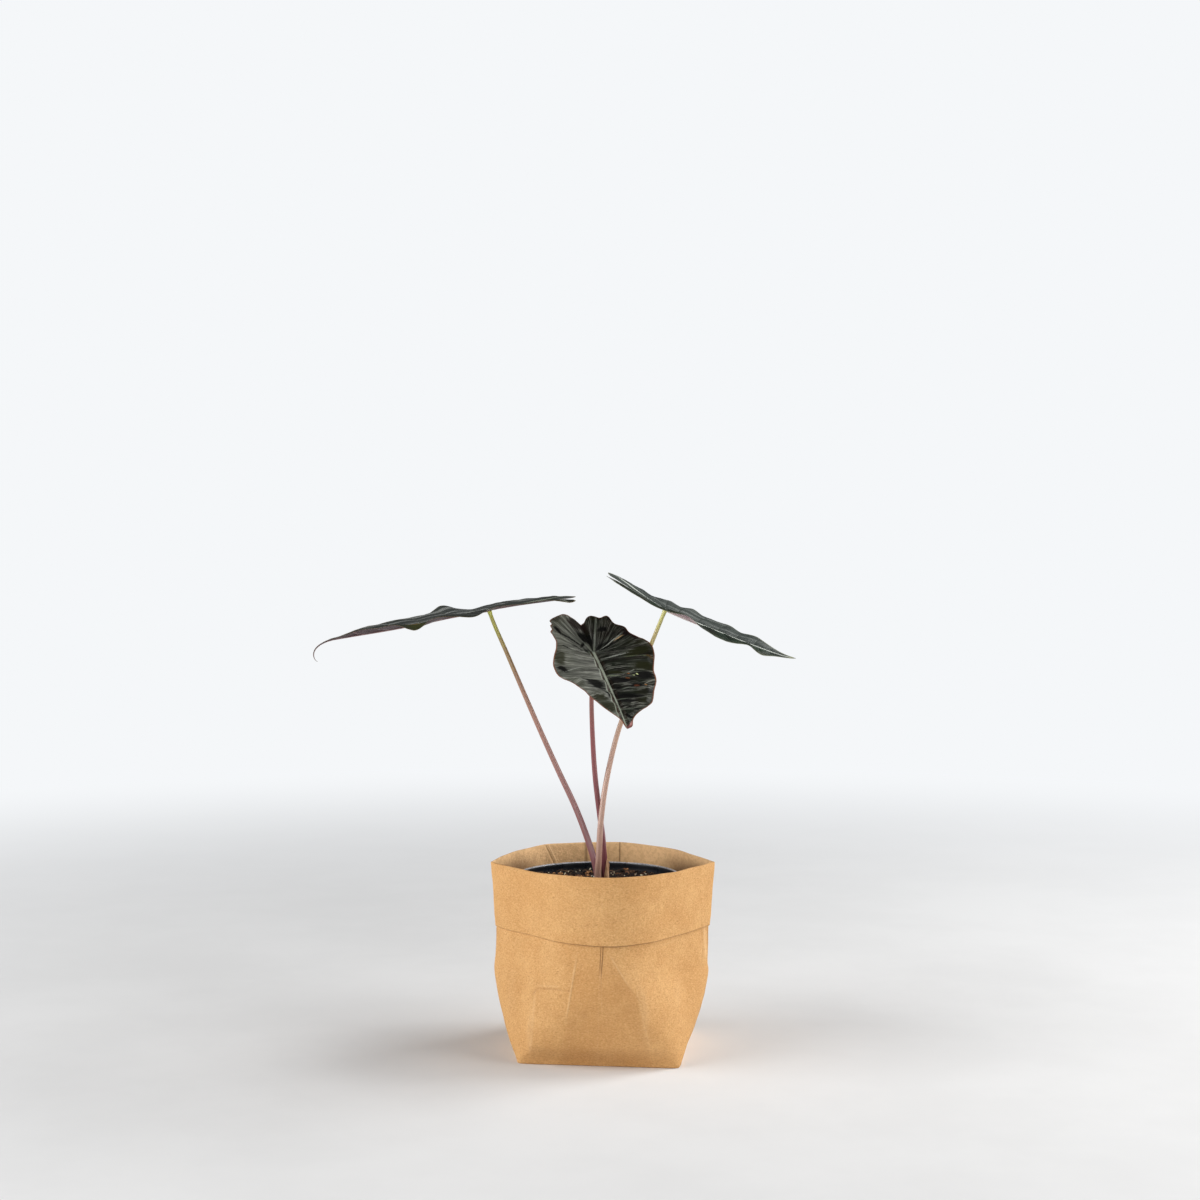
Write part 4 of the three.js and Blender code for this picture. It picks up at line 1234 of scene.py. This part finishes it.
# Half outline of the side blades from the tip round to the notch, as shares of the length and the half width.
sideOutline = [
    (1, 0), (0.97, 0.035), (0.9, 0.1), (0.78, 0.27), (0.62, 0.55), (0.42, 0.84), (0.2, 0.985), (0, 1),
    (-0.3, 0.93), (-0.62, 0.74), (-0.9, 0.47), (-1, 0.3), (-0.97, 0.17), (-0.8, 0.09), (-0.55, 0.03),
    (-0.45, 0),
]

# Places along a blade are in millimetres from its stalk and count up towards the tip. Its halves are plus and
# minus. Dip and roll are (place, degrees), waves are (place, rise, reach), and veins are the places where
# side veins leave the midrib.
leafValues = {
    "left": {
        "joint": (-73.1, 0, 283.4), "heading": 180, "front": 125, "back": 56, "half": 36,
        "plusFold": 0.078, "plusDroop": 0.03, "minusFold": 0.078, "minusDroop": 0.03,
        "dip": [(-60, 5), (-30, 7), (0, 9.5), (18, 10.5), (34, 13), (50, 11.5), (80, 9.5), (101.5, 10.5),
                (110, 28), (115, 50), (118.7, 82), (122.2, 116), (125, 160)],
        "roll": [(-60, -1), (0, -1), (40, -2), (60, -0.5), (100, 0)],
        "plusWaves": [(-50, -9, 6.5), (-38, 1.4, 9), (-12, 1.3, 10), (6, -2.6, 8), (30, 1.8, 9),
                      (45, -4.2, 7), (62, 2.5, 8), (88, 6.5, 17)],
        "minusWaves": [(-40, 1.2, 9), (-12, 0.5, 9), (10, -1.5, 9), (30.5, 5, 7.5), (48, 1.8, 10),
                       (66, 4.2, 12), (91, 8, 16)],
        "plusVeins": [13, 31, 49, 66, 82, 96], "minusVeins": [9, 27, 45, 63, 79, 93],
        "lean": 0.42, "seed": 61, "pucker": 0.4, "ripple": 0.12, "hollows": [],
    },
    "middle": {
        "joint": (-5.7, -36, 257.6), "heading": -72, "front": 77, "back": 42, "half": 34,
        "plusFold": 0.16, "plusDroop": 0.05, "minusFold": 0.16, "minusDroop": 0.05,
        "dip": [(-50, 34), (0, 30), (50, 32), (78, 38)],
        "roll": [(-50, 0), (80, 0)],
        "plusWaves": [(-12, 1.5, 7), (12, -1.2, 7), (32, 1.2, 7), (52, -1, 6)],
        "minusWaves": [(-14, -1.2, 6), (6, 1.5, 7), (26, -1, 7), (48, 1, 7)],
        "plus": [(77, 0), (75.5, 3.4), (70, 5.5), (66, 8.5), (62, 14), (58, 20), (54, 22.5), (45, 26),
                 (37, 29.5), (25, 31.5), (15, 35), (7, 37.5), (-1, 38), (-7, 35), (-11, 31), (-17, 28),
                 (-25, 26.5),
                 (-29, 21.5), (-38, 18.5), (-37, 13.5), (-40, 9), (-38.5, 5.5), (-33, 2), (-31.5, 0)],
        "minus": [(77, 0), (75, 0.8), (69, 2.2), (60.5, 9), (48, 16.7), (40, 20.8), (35, 24), (31, 28.7),
                  (25, 31.4), (18, 31.8), (10.5, 29.8), (-3, 24.5), (-11.5, 22.5), (-18, 22.7), (-21, 23.5),
                  (-23.5, 21.9), (-27.5, 22.0), (-30, 20.4), (-33, 21.0), (-42, 9), (-39.5, 4.5),
                  (-33.5, 1.2), (-31.5, 0)],
        "plusVeins": [9, 25, 40, 50, 60, 69], "minusVeins": [5, 17, 30, 42, 53, 63],
        "lean": 0.12, "seed": 62, "pucker": 1.5, "ripple": 0.22,
        "hollows": [            # centre, half length, half width, turn in degrees, depth
            ((-22, 11), 3.0, 2.0, 110, 0.7), ((-7, 9), 7.0, 2.4, 119, 1.1), ((-16, -1.5), 6.0, 3.4, 34, 1.0),
            ((-0.5, -3.2), 3.4, 1.8, 41, 0.5), ((4, 27), 7.4, 2.4, 105, 0.8), ((20, 27), 5.5, 3.2, 81, 0.7),
            ((24, 9), 4.8, 1.5, 67, 0.5), ((30, 23), 5.6, 3.9, 72, 0.9), ((32, 7), 6.2, 2.2, 66, 1.0),
            ((40, 6), 5.0, 1.5, 60, 0.8), ((39, 16), 3.4, 2.0, 93, 0.6), ((48, 10), 7.6, 1.3, 81, 0.9),
            ((53, 5), 4.6, 1.5, 72, 0.8), ((61, 6.5), 5.0, 1.0, 84, 0.7), ((67, 4), 2.6, 0.7, 53, 0.4),
            ((35, -11), 6.8, 2.9, 59, 1.1), ((22, -27), 3.2, 1.5, 54, 0.6), ((46, -3.2), 4.2, 1.8, 18, 0.6),
            ((-23, -18), 3.8, 1.1, 18, 0.6),
        ],
    },
    "right": {
        "joint": (40.2, 0, 283.7), "heading": 0, "front": 90, "back": 43.6, "half": 30,
        "plusFold": 0.19, "plusDroop": 0.15, "minusFold": 0.06, "minusDroop": 0.02,
        "dip": [(-50, 27), (-24, 33), (0, 25.5), (16, 22.5), (40, 22), (75, 20), (84, 12), (90, 8)],
        "roll": [(-44, 4), (0, 2), (40, 6), (70, 18), (90, 22)],
        "plusWaves": [(-20, 0.6, 9), (0, 3.2, 8), (16, 3.5, 7), (30, 1.5, 7), (43, 2.2, 7), (56, -1.8, 7),
                      (68, 3.2, 8)],
        "minusWaves": [(-30, -1.2, 11), (-10, -0.8, 6), (11, 3.2, 8), (38, -2.2, 10), (60, 5.5, 7),
                       (75.5, -7.5, 7)],
        "plusVeins": [8, 22, 36, 49, 61, 72], "minusVeins": [11, 25, 39, 52, 64, 75],
        "lean": 0.42, "seed": 63, "pucker": 0.4, "ripple": 0.12, "hollows": [],
    },
}
waveSweep, waveReachShare, waveGrowth = 0.35, 0.8, 1.4
columnsAhead, columnsBehind, rowsAcross = 190, 90, 54


# Half outline from the tip to the notch behind the stalk, as a fine even line.
def halfOutline(v, side):
    corners = v.get(side)
    if not corners:
        corners = [(x * (v["front"] if x > 0 else v["back"]), y * v["half"]) for x, y in sideOutline]
    line = smoothLine(corners, 1500)
    off = np.flatnonzero(line[:, 1] > 0.02)         # the closed part of the notch is left to the seam
    kept = np.maximum(line[off[0]:off[-1] + 1], [-1e9, 0])
    return np.concatenate([[(line[0, 0], 0)], kept, [(kept[-1, 0], 0)]])


# Height of the blade over its own bent plane: a shallow fold along the midrib, a droop towards the margin
# and bell-shaped waves that grow towards the margin.
def bladeLift(v, x, y, side):
    out = np.abs(y) / v["half"]
    lift = v[side + "Fold"] * np.abs(y) - v[side + "Droop"] * v["half"] * out**2
    sweep = waveSweep * (np.abs(y) - v["half"] * waveReachShare)
    for station, rise, reach in v[side + "Waves"]:
        lift = lift + rise * bell(x - station - sweep, reach) * out**waveGrowth
    return lift


# A point of the blade in space: the midrib's run and drop are the sums of the cosine and sine of its dip,
# and the blade stands across it, rolled, with its lift along its normal.
def bladePlace(v, x, y, lift):
    s = np.linspace(-1.2 * v["back"], v["front"], 900)
    dip = np.radians(fromTable(s, v["dip"]))
    slope = np.stack([np.cos(dip), np.sin(dip)], -1)
    walk = np.vstack([[0, 0], np.cumsum((slope[1:] + slope[:-1]) / 2 * (s[1] - s[0]), axis=0)])
    run, drop = np.moveaxis(readOff(x, s, walk) - readOff(0, s, walk), -1, 0)[..., None]
    tilt = np.interp(x, s, dip)[..., None]
    roll = np.radians(fromTable(x, v["roll"]))[..., None]
    heading = math.radians(v["heading"])
    ahead = np.array([math.cos(heading), math.sin(heading), 0])
    aside = np.array([-math.sin(heading), math.cos(heading), 0])
    above = np.array([0, 0, 1.0])
    up = np.sin(tilt) * ahead + np.cos(tilt) * above
    across = np.cos(roll) * aside + np.sin(roll) * up
    normal = -np.sin(roll) * aside + np.cos(roll) * up
    onRib = np.array(v["joint"]) + run * ahead - drop * above
    return onRib + y[..., None] * across + lift[..., None] * normal


# Where each column leaves the midrib and ends on the margin. Ahead of the stalk a column follows a side
# vein, which leans towards the tip; behind it the columns fan out from the stalk.
def leafColumns(v):
    found = {}
    for side in ("plus", "minus"):
        line = halfOutline(v, side)
        share = np.linspace(0, 1, len(line))
        start = line[:, 0] - v["lean"] * line[:, 1] * softStep(line[:, 0], -12, 30) + 0.1 * line[:, 1]
        start = np.minimum.accumulate(np.clip(start, 0, v["front"]) - 1e-6 * share)
        found[side] = (line, share, start)
    _, share, start = found["plus"]
    feet = np.interp(np.linspace(0, share[np.argmax(start <= 0.01)], columnsAhead), share, start)
    feet[0], feet[-1] = v["front"], 0
    columns = {}
    for side, (line, share, start) in found.items():
        hit = np.interp(-feet, -start, share)
        hit[0] = 0
        at = np.concatenate([hit, np.linspace(hit[-1], 1, columnsBehind + 1)[1:]])
        columns[side] = readOff(at, share, line)
    return np.concatenate([feet, np.zeros(columnsBehind)]), columns


# The vein count across a half: whole numbers at the side veins ahead, and three more in the rear lobe.
def veinCount(v, side, feet, margin):
    stations = [0, *v[side + "Veins"], v["front"]]
    count = np.interp(feet, stations, np.arange(len(stations)))
    angle = np.arctan2(margin[:, 1], margin[:, 0])
    first = angle[columnsAhead - 1]
    behind = -3 * (angle - first) / (math.radians(166) - first)
    return np.where(np.arange(len(feet)) < columnsAhead, count, behind)


# Distance between the veins at each point: the cross product of a step along the columns and one across
# them, over the count that the step takes.
def veinGap(x, y, count):
    stepX, stepY = np.gradient(x, axis=1), np.gradient(y, axis=1)
    alongX, alongY = np.gradient(x, axis=0), np.gradient(y, axis=0)
    apart = np.abs(stepX * alongY - stepY * alongX) / np.maximum(np.hypot(alongX, alongY), 1e-6)
    return np.clip(apart / np.maximum(np.abs(np.gradient(count, axis=1)), 1e-3), 0.2, 30)


# One half of a blade. Rows run from the midrib to the margin on top, and back below. Relief: the panels
# between side veins are puffed up, the veins are fine grooves above and ridges below, the midrib stands
# proud between two grooves, and fine streaks run along the veins.
def leafHalf(v, side, feet, margin):
    share = np.linspace(0, 1, rowsAcross)[:, None] ** 0.95
    x = feet + (margin[:, 0] - feet) * share ** 1.3
    y = (1 if side == "plus" else -1) * margin[:, 1] * share
    count = veinCount(v, side, feet, margin)[None, :] + 0 * share
    wide = share + 0 * count
    gap = veinGap(x, y, count)
    part = count - np.round(count)
    near = np.abs(part) * gap
    length = np.hypot(margin[:, 0] - feet, margin[:, 1])[None, :]
    edge = (1 - share) * length
    hold = softStep(edge, 0.4, 5) * softStep(np.abs(y), 0.3, 3)
    size = np.clip(gap / 9, 0, 1.2)
    seed = v["seed"] + (0 if side == "plus" else 7)
    uneven = 1 + 0.5 * softNoise(np.stack([count * 6, wide * 3], -1), 9, seed, 2)
    skew = np.clip(part + 0.12, -0.5, 0.62)
    relief = v["pucker"] * size * uneven * np.sin(math.pi * np.abs(skew)) ** 1.4
    relief += 0.075 * v["pucker"] * softNoise(np.stack([count * 9, wide * 2.2], -1), 1.4, seed + 1, 2) * size
    for centre, half, width, turn, depth in v["hollows"]:
        c, s = math.cos(math.radians(turn)), math.sin(math.radians(turn))
        dx, dy = x - centre[0], y - centre[1]
        relief -= depth * bell(dx * c + dy * s, half) * bell(dy * c - dx * s, width)
    ripple = v["ripple"] * softNoise(np.stack([x, y], -1), 11, seed + 2, 2)
    ripple = ripple * share**3 * softStep(length, 3, 14)
    middle = bladeLift(v, x, y, side) + relief * hold + ripple
    taper = np.clip(1 - x / v["front"], 0, 1) ** 0.6 * softStep(x, -2, 1)
    thick = 0.10 + 0.22 * softStep(edge, 0, 4)
    groove = 0.28 * bell(near, 0.55) * hold * softStep(share, 1.0, 0.75)
    ridge = 0.35 * bell(near, 0.6) * hold * softStep(share, 1.0, 0.6)
    top = middle + thick / 2 - groove + taper * (0.42 * bell(y, 0.6) - 0.36 * bell(np.abs(y) - 1.5, 0.7))
    below = middle - thick / 2 - ridge - taper * (0.6 * bell(y, 2.1) + 0.5 * bell(y, 0.9))
    grid = np.concatenate([bladePlace(v, x, y, top), bladePlace(v, x, y, below)[::-1]])
    veins, spots = stackFields(count, gap, share), stackFields(x, y, edge)
    return grid, np.concatenate([veins, veins[::-1]]), np.concatenate([spots, spots[::-1]])


# Both halves share the points of the tip, the notch's seam and the midrib.
def makeLeaf(name, v, nodeName, materials):
    feet, columns = leafColumns(v)
    halves = [leafHalf(v, side, feet, columns[side]) for side in ("plus", "minus")]
    plus, minus = halves[0][0], halves[1][0]
    for line in (np.s_[:, 0], np.s_[:, -1], np.s_[0], np.s_[-1]):
        plus[line] = minus[line] = (plus[line] + minus[line]) / 2
    rows, width = plus.shape[:2]
    quads = gridQuads(rows, width, wrap=False)
    quads = np.concatenate([quads, quads[:, ::-1] + rows * width])
    under = np.tile((np.arange(rows - 1) >= rowsAcross).repeat(width - 1), 2)
    points, veins, spots = (np.concatenate(both) for both in zip(*halves))
    fields = {"leafVein": veins, "leafSpot": spots}
    return makePiece(name, points, materials, [nodeName], quads, fields, under)


leafColours = {
    "dark": (0.0065, 0.0060, 0.0045),
    "deep": (0.0100, 0.0125, 0.0080),
    "olive": (0.030, 0.030, 0.008),
    "dullBetween": 0.1,         # how far the silver fades between side veins
    "streaks": 4.0,             # fine streaks for each side vein
    "besideRib": 0.0,           # share of a fine pale line left of the midrib
    "rib": (0.310, 0.340, 0.265),
    "gloss": 0.40,
    "shine": 0.15,
    "crinkle": 0.05,
    "hollowShades": [],
    "marks": [],
}
hollowFeather = {"long": 1.25, "wide": 1.3, "rough": 1.4, "dull": 0.62}


# A soft long mark on the blade: its place is turned and scaled so that the mark is a unit disc, whose
# distance from the middle is roughened by the wobble.
def markMask(flat, centre, half, width, turn, wobble, sharp=0.55):
    inputs = {"Vector": flat, "Location": (*centre, 0), "Rotation": (0, 0, math.radians(turn)),
              "Scale": (half, width, 1)}
    local = term(flat.tree, "Mapping", inputs, vector_type="TEXTURE")
    far = vectorOn(flat.tree, "LENGTH", local, output="Value") + wobble
    return far.spread(1.3, 1.3 - 1.3 * sharp)


# Upper skin: near-black green with silver sheen streaks and lengthwise sheen bands, partly the leaf's own
# metallic sheen and partly painted reflection, set half by half; painted shade in the dented hollows and in
# the grooves beside the midrib; paler veins and midrib, small marks and a pale margin. Plus and minus are the
# shares on the two halves; the even share is silver sheen laid on evenly.
def makeLeafTop(name, v):
    v = {**leafColours, **v}
    skin = Finish(name, {"Specular IOR Level": v["shine"]})
    count, gap, run = partsOf(skin.field("leafVein"))
    x, y, edge = partsOf(skin.field("leafSpot"))
    grain, patch = skin.grain(13, 0.6), skin.grain(24, 3.0)
    lines = placeGroup(skin.tree, veinGroup, {"Count": count, "Gap": gap, "Run": run, "Width": 0.75})
    flow = vectorOf(count * v["streaks"], run * 1.7, mathOn(skin.tree, "SIGN", y))
    streak = noise(flow, 2.2, 6, 0.62, 0.5)
    broad = noise(flow, 0.5, 3, 0.55)
    band = noise(vectorOf(x * 0.007, y * 0.10), 1.6, 2)
    minusShare = y.spread(1.0, -3.0)
    silverSheen, evenSheen = (minusShare.spread(0, 1, *v[key]) for key in ("sheenShares", "evenSheenShares"))
    fine = streak.spread(0.45, 0.64) * (1.0 - evenSheen) + evenSheen
    calm = mathOn(skin.tree, "MAXIMUM", broad.spread(0.40, 0.60), evenSheen)
    # silver sheen: partly the leaf's own metallic sheen, partly painted reflection through the shares of each
    # half
    sheen = fine * calm * (1.0 - lines["Between"] * v["dullBetween"]) * silverSheen
    skin.colour = blendColour(grain["Cloud"], v["dark"], v["deep"])
    skin.over((run.spread(0.35, 0.95) * (patch["Cloud"] * 0.6), v["olive"]), (sheen, v["silverSheen"]))
    if "sheenBands" in v:
        # lengthwise bands of painted sheen, standing in for the side blades' reflections
        skin.over((band.spread(0.46, 0.64, 0, v["sheenBands"]) * silverSheen, v["sheenBandTone"]))
    flat = vectorOf(x, y)
    feather = (streak - 0.5) * hollowFeather["rough"]
    dull = run.spread(0.72, 0.98, v["gloss"], v["gloss"] + 0.22)
    sunken = 0.0
    # painted shade in the dented hollows, which are also made rougher
    for centre, half, width, turn, tone, strength in v["hollowShades"]:
        long, wide = half * hollowFeather["long"], width * hollowFeather["wide"]
        mask = markMask(flat, centre, long, wide, turn, feather, 0.5)
        skin.over((mask * strength, tone))
        sunken = mathOn(skin.tree, "MAXIMUM", mask, sunken)
    if v["hollowShades"]:
        dull = sunken * hollowFeather["dull"] + dull
    away, ahead = abs(y), x.spread(-3.0, 0.5)
    rib = (away / x.spread(-5.0, v["front"], v["ribWidth"], v["ribWidth"] * 0.35)).spread(1.0, 0.6) * ahead
    lobeRib = abs(x * 0.3 + away).spread(0.85, 0.3, 0, v["lobeRib"]) * x.spread(-1.0, -4.0)
    skin.over(
        (lines["Line"] * run.spread(0.98, 0.5, 0.1, 0.85) * x.spread(-6.0, 8.0, 0.22, 0.8), v["vein"]),
        # painted shade in the grooves beside the midrib, stronger on the minus half
        (abs(away - 1.7).spread(0.8, 0.3) * ahead * y.spread(0.5, -0.5, 0.3, 0.9), v["grooveShade"]),
        (abs(y + 2.9).spread(0.5, 0.15, 0, v["besideRib"]) * ahead, v["rib"]),
        (lobeRib, v["rib"]),
        (rib * 0.92, v["rib"]),
    )
    rough = (grain["Grain"] - 0.5) * 0.9
    skin.over(*((markMask(flat, *mark, rough), tone) for *mark, tone in v["marks"]))
    if "tipTone" in v:
        skin.over((x.spread(v["front"] - v["tipReach"], v["front"] - 1, 0, 0.9), v["tipTone"]))
    skin.over(((grain["Grain"] * 0.35 + edge).spread(1.2, 0.55) * 0.9, v["margin"]))
    return skin.close(grain["Grain"] * 0.12 + streak, v["crinkle"], 0.5, streak * 0.12 + dull)


# Lower skin: dull purple-pink with paler raised veins.
def makeLeafUnder(name, under, deep, vein):
    skin = Finish(name, {"Roughness": 0.5, "Specular IOR Level": 0.2})
    count, gap, run = partsOf(skin.field("leafVein"))
    x, y, _ = partsOf(skin.field("leafSpot"))
    grain = skin.grain(12, 0.7)
    lines = placeGroup(skin.tree, veinGroup, {"Count": count, "Gap": gap, "Run": run, "Width": 1.0})
    skin.colour = blendColour(grain["Cloud"], under, deep)
    skin.over((grain["Grain"] * 0.3, (0.06, 0.02, 0.028)), (lines["Line"] * 0.7, vein),
              (abs(y).spread(1.4, 0.8) * x.spread(-3.0, 0.5), vein))
    return skin.close(grain["Height"], 0.4, 0.3)


nearBlack = (0.0022, 0.0022, 0.0018)
oliveBlack = (0.0125, 0.0135, 0.0035)
brownBlack = (0.020, 0.0095, 0.0085)
oliveHollows = {(4, 27), (20, 27), (24, 9)}
# Painted shade in the blade's dented hollows, near-black, olive-black or brown-black, then further patches of
# painted shade.
middleHollowShades = [(*hollow[:4], oliveBlack if hollow[0] in oliveHollows else nearBlack, 0.97)
               for hollow in leafValues["middle"]["hollows"]]
middleHollowShades += [                # centre, half length, half width, turn, colour, share
    ((-31, -3), 6.5, 3.8, 33, brownBlack, 0.8),
    ((-14, 27), 6.2, 2.6, 26, (0.010, 0.0035, 0.0035), 0.85),
    ((9, -26), 7.0, 3.0, 0, oliveBlack, 0.8),
    ((55, -7.5), 8.2, 3.6, 34, oliveBlack, 0.8),
    ((-18, -15), 2.0, 0.9, 42, nearBlack, 0.8),
    ((-4, -10), 3.4, 1.0, 40, nearBlack, 0.7),
]
middleMarks = [                 # centre, half length, half width, turn, colour
    ((-12, 19), 3.6, 0.42, 121, (0.42, 0.28, 0.14)),
    ((27.4, 14.2), 0.7, 0.6, 0, (0.50, 0.14, 0.02)),
    ((30.1, 16.9), 0.7, 0.4, 60, (0.50, 0.56, 0.28)),
    ((29.1, 19.3), 0.8, 0.5, 30, (0.50, 0.54, 0.26)),
    ((39.3, 22), 0.9, 0.45, 40, (0.36, 0.16, 0.05)),
    ((32, 12.3), 1.2, 0.5, 60, (0.13, 0.045, 0.015)),
    ((38.6, 16.6), 1.6, 0.9, 80, (0.085, 0.026, 0.012)),
    ((10, 33), 2.8, 1.5, 37, (0.060, 0.034, 0.008)),
    # pale grey lines along the side veins: partly the veins' own colour, partly painted highlight on the
    # ridges beside them
    ((-9, 12.7), 11, 0.40, 124.8, (0.26, 0.27, 0.23)),
    ((6.2, 11.3), 8.6, 0.42, 100, (0.22, 0.23, 0.20)),
    ((8.6, 21.3), 8.8, 0.34, 89, (0.19, 0.20, 0.16)),
    ((-14.5, 4.3), 8.5, 0.50, 166, (0.20, 0.21, 0.18)),
    # near-black lines and spots: painted shade along vein grooves and in small dips
    ((-12.5, -10.5), 9.5, 0.55, 33.7, (0.0035, 0.0035, 0.003)),
    ((-1, 22.8), 5.2, 0.60, 97, (0.0035, 0.0035, 0.003)),
    ((-7, -6), 3.4, 1.1, 146, (0.0035, 0.0035, 0.003)),
    ((-15, -16), 8.0, 0.34, 31, (0.0060, 0.0060, 0.005)),
    ((-2, -16), 7.0, 0.34, 60, (0.0090, 0.0090, 0.007)),
    ((9, -13), 6.0, 0.30, 78, (0.0100, 0.0100, 0.008)),
    # greenish-grey lines along the side veins: partly the veins' own colour, partly painted highlight
    ((7, 22), 4.2, 0.34, 93, (0.13, 0.15, 0.085)),
    ((9, 29), 4.2, 0.34, 61, (0.13, 0.15, 0.085)),
    ((27, 4.5), 4.6, 0.5, 66, (0.17, 0.20, 0.13)),
    ((24, 17), 3.6, 0.4, 115, (0.17, 0.18, 0.15)),
    ((23, 23), 3.6, 0.36, 84, (0.13, 0.14, 0.11)),
    ((37, 25), 4.2, 0.34, 112, (0.16, 0.16, 0.13)),
    ((21.5, -18), 7.5, 0.36, 108, (0.20, 0.21, 0.18)),
    ((73.5, 3.4), 3.6, 0.9, 148, (0.42, 0.20, 0.19)),
]
leftMarks = [
    ((44, 22), 9, 9, 0, (0.040, 0.044, 0.010)),
    ((36, 27), 4.5, 3, 150, (0.120, 0.115, 0.020)),
    ((49, 14), 5.5, 1.6, 170, (0.300, 0.190, 0.060)),
]
# The middle blade's brighter left half is painted reflection of the top softbox; the side blades' sheen bands
# are painted reflection too.
topLeft = makeLeafTop("leafTopLeft", {
    "front": leafValues["left"]["front"], "sheenShares": (0.35, 0.95), "evenSheenShares": (0.8, 0.9),
    "silverSheen": (0.050, 0.056, 0.052), "sheenBands": 0.9, "sheenBandTone": (0.24, 0.25, 0.235), "ribWidth": 1.4,
    "lobeRib": 0.8, "grooveShade": (0.010, 0.008, 0.006), "vein": (0.080, 0.090, 0.070),
    "margin": (0.150, 0.110, 0.045), "marks": leftMarks})
topMiddle = makeLeafTop("leafTopMiddle", {
    "front": leafValues["middle"]["front"], "sheenShares": (0.60, 1.0), "evenSheenShares": (0.0, 0.46),
    "silverSheen": (0.300, 0.306, 0.260), "dark": (0.0050, 0.0040, 0.0032), "dullBetween": 0.25, "streaks": 11.0,
    "shine": 0.11, "crinkle": 0.26, "gloss": 0.27, "ribWidth": 1.15, "besideRib": 0.6, "lobeRib": 0.35,
    "grooveShade": (0.030, 0.015, 0.007), "vein": (0.130, 0.150, 0.115), "margin": (0.20, 0.080, 0.043),
    "hollowShades": middleHollowShades, "marks": middleMarks, "tipTone": (0.16, 0.06, 0.055), "tipReach": 4})
topRight = makeLeafTop("leafTopRight", {
    "front": leafValues["right"]["front"], "sheenShares": (0.95, 0.04), "evenSheenShares": (0.95, 0.0),
    "silverSheen": (0.060, 0.070, 0.064), "deep": (0.0070, 0.024, 0.0100), "sheenBands": 0.85,
    "sheenBandTone": (0.20, 0.215, 0.20), "ribWidth": 1.5, "lobeRib": 1.0, "grooveShade": (0.008, 0.010, 0.007),
    "rib": (0.52, 0.55, 0.49), "vein": (0.060, 0.072, 0.058), "margin": (0.20, 0.21, 0.15),
    "tipTone": (0.28, 0.27, 0.07), "tipReach": 6})
# One purple-pink underside skin in three copies: the left copy is darkened as painted shade and the right
# copy lightened as painted light.
underLeftShaded = makeLeafUnder("leafUnderLeftShaded", (0.050, 0.017, 0.022), (0.028, 0.010, 0.013), (0.30, 0.18, 0.17))
underMiddle = makeLeafUnder("leafUnder", (0.26, 0.15, 0.15), (0.15, 0.070, 0.082), (0.50, 0.38, 0.34))
underRightLit = makeLeafUnder("leafUnderRightLit", (0.44, 0.345, 0.335), (0.27, 0.165, 0.185), (0.60, 0.50, 0.47))
makeLeaf("leafLeft", leafValues["left"], "leaf_blade_left", [topLeft, underLeftShaded])
makeLeaf("leafMiddle", leafValues["middle"], "leaf_blade_middle", [topMiddle, underMiddle])
makeLeaf("leafRight", leafValues["right"], "leaf_blade_right", [topRight, underRightLit])
print("stage: leaves")
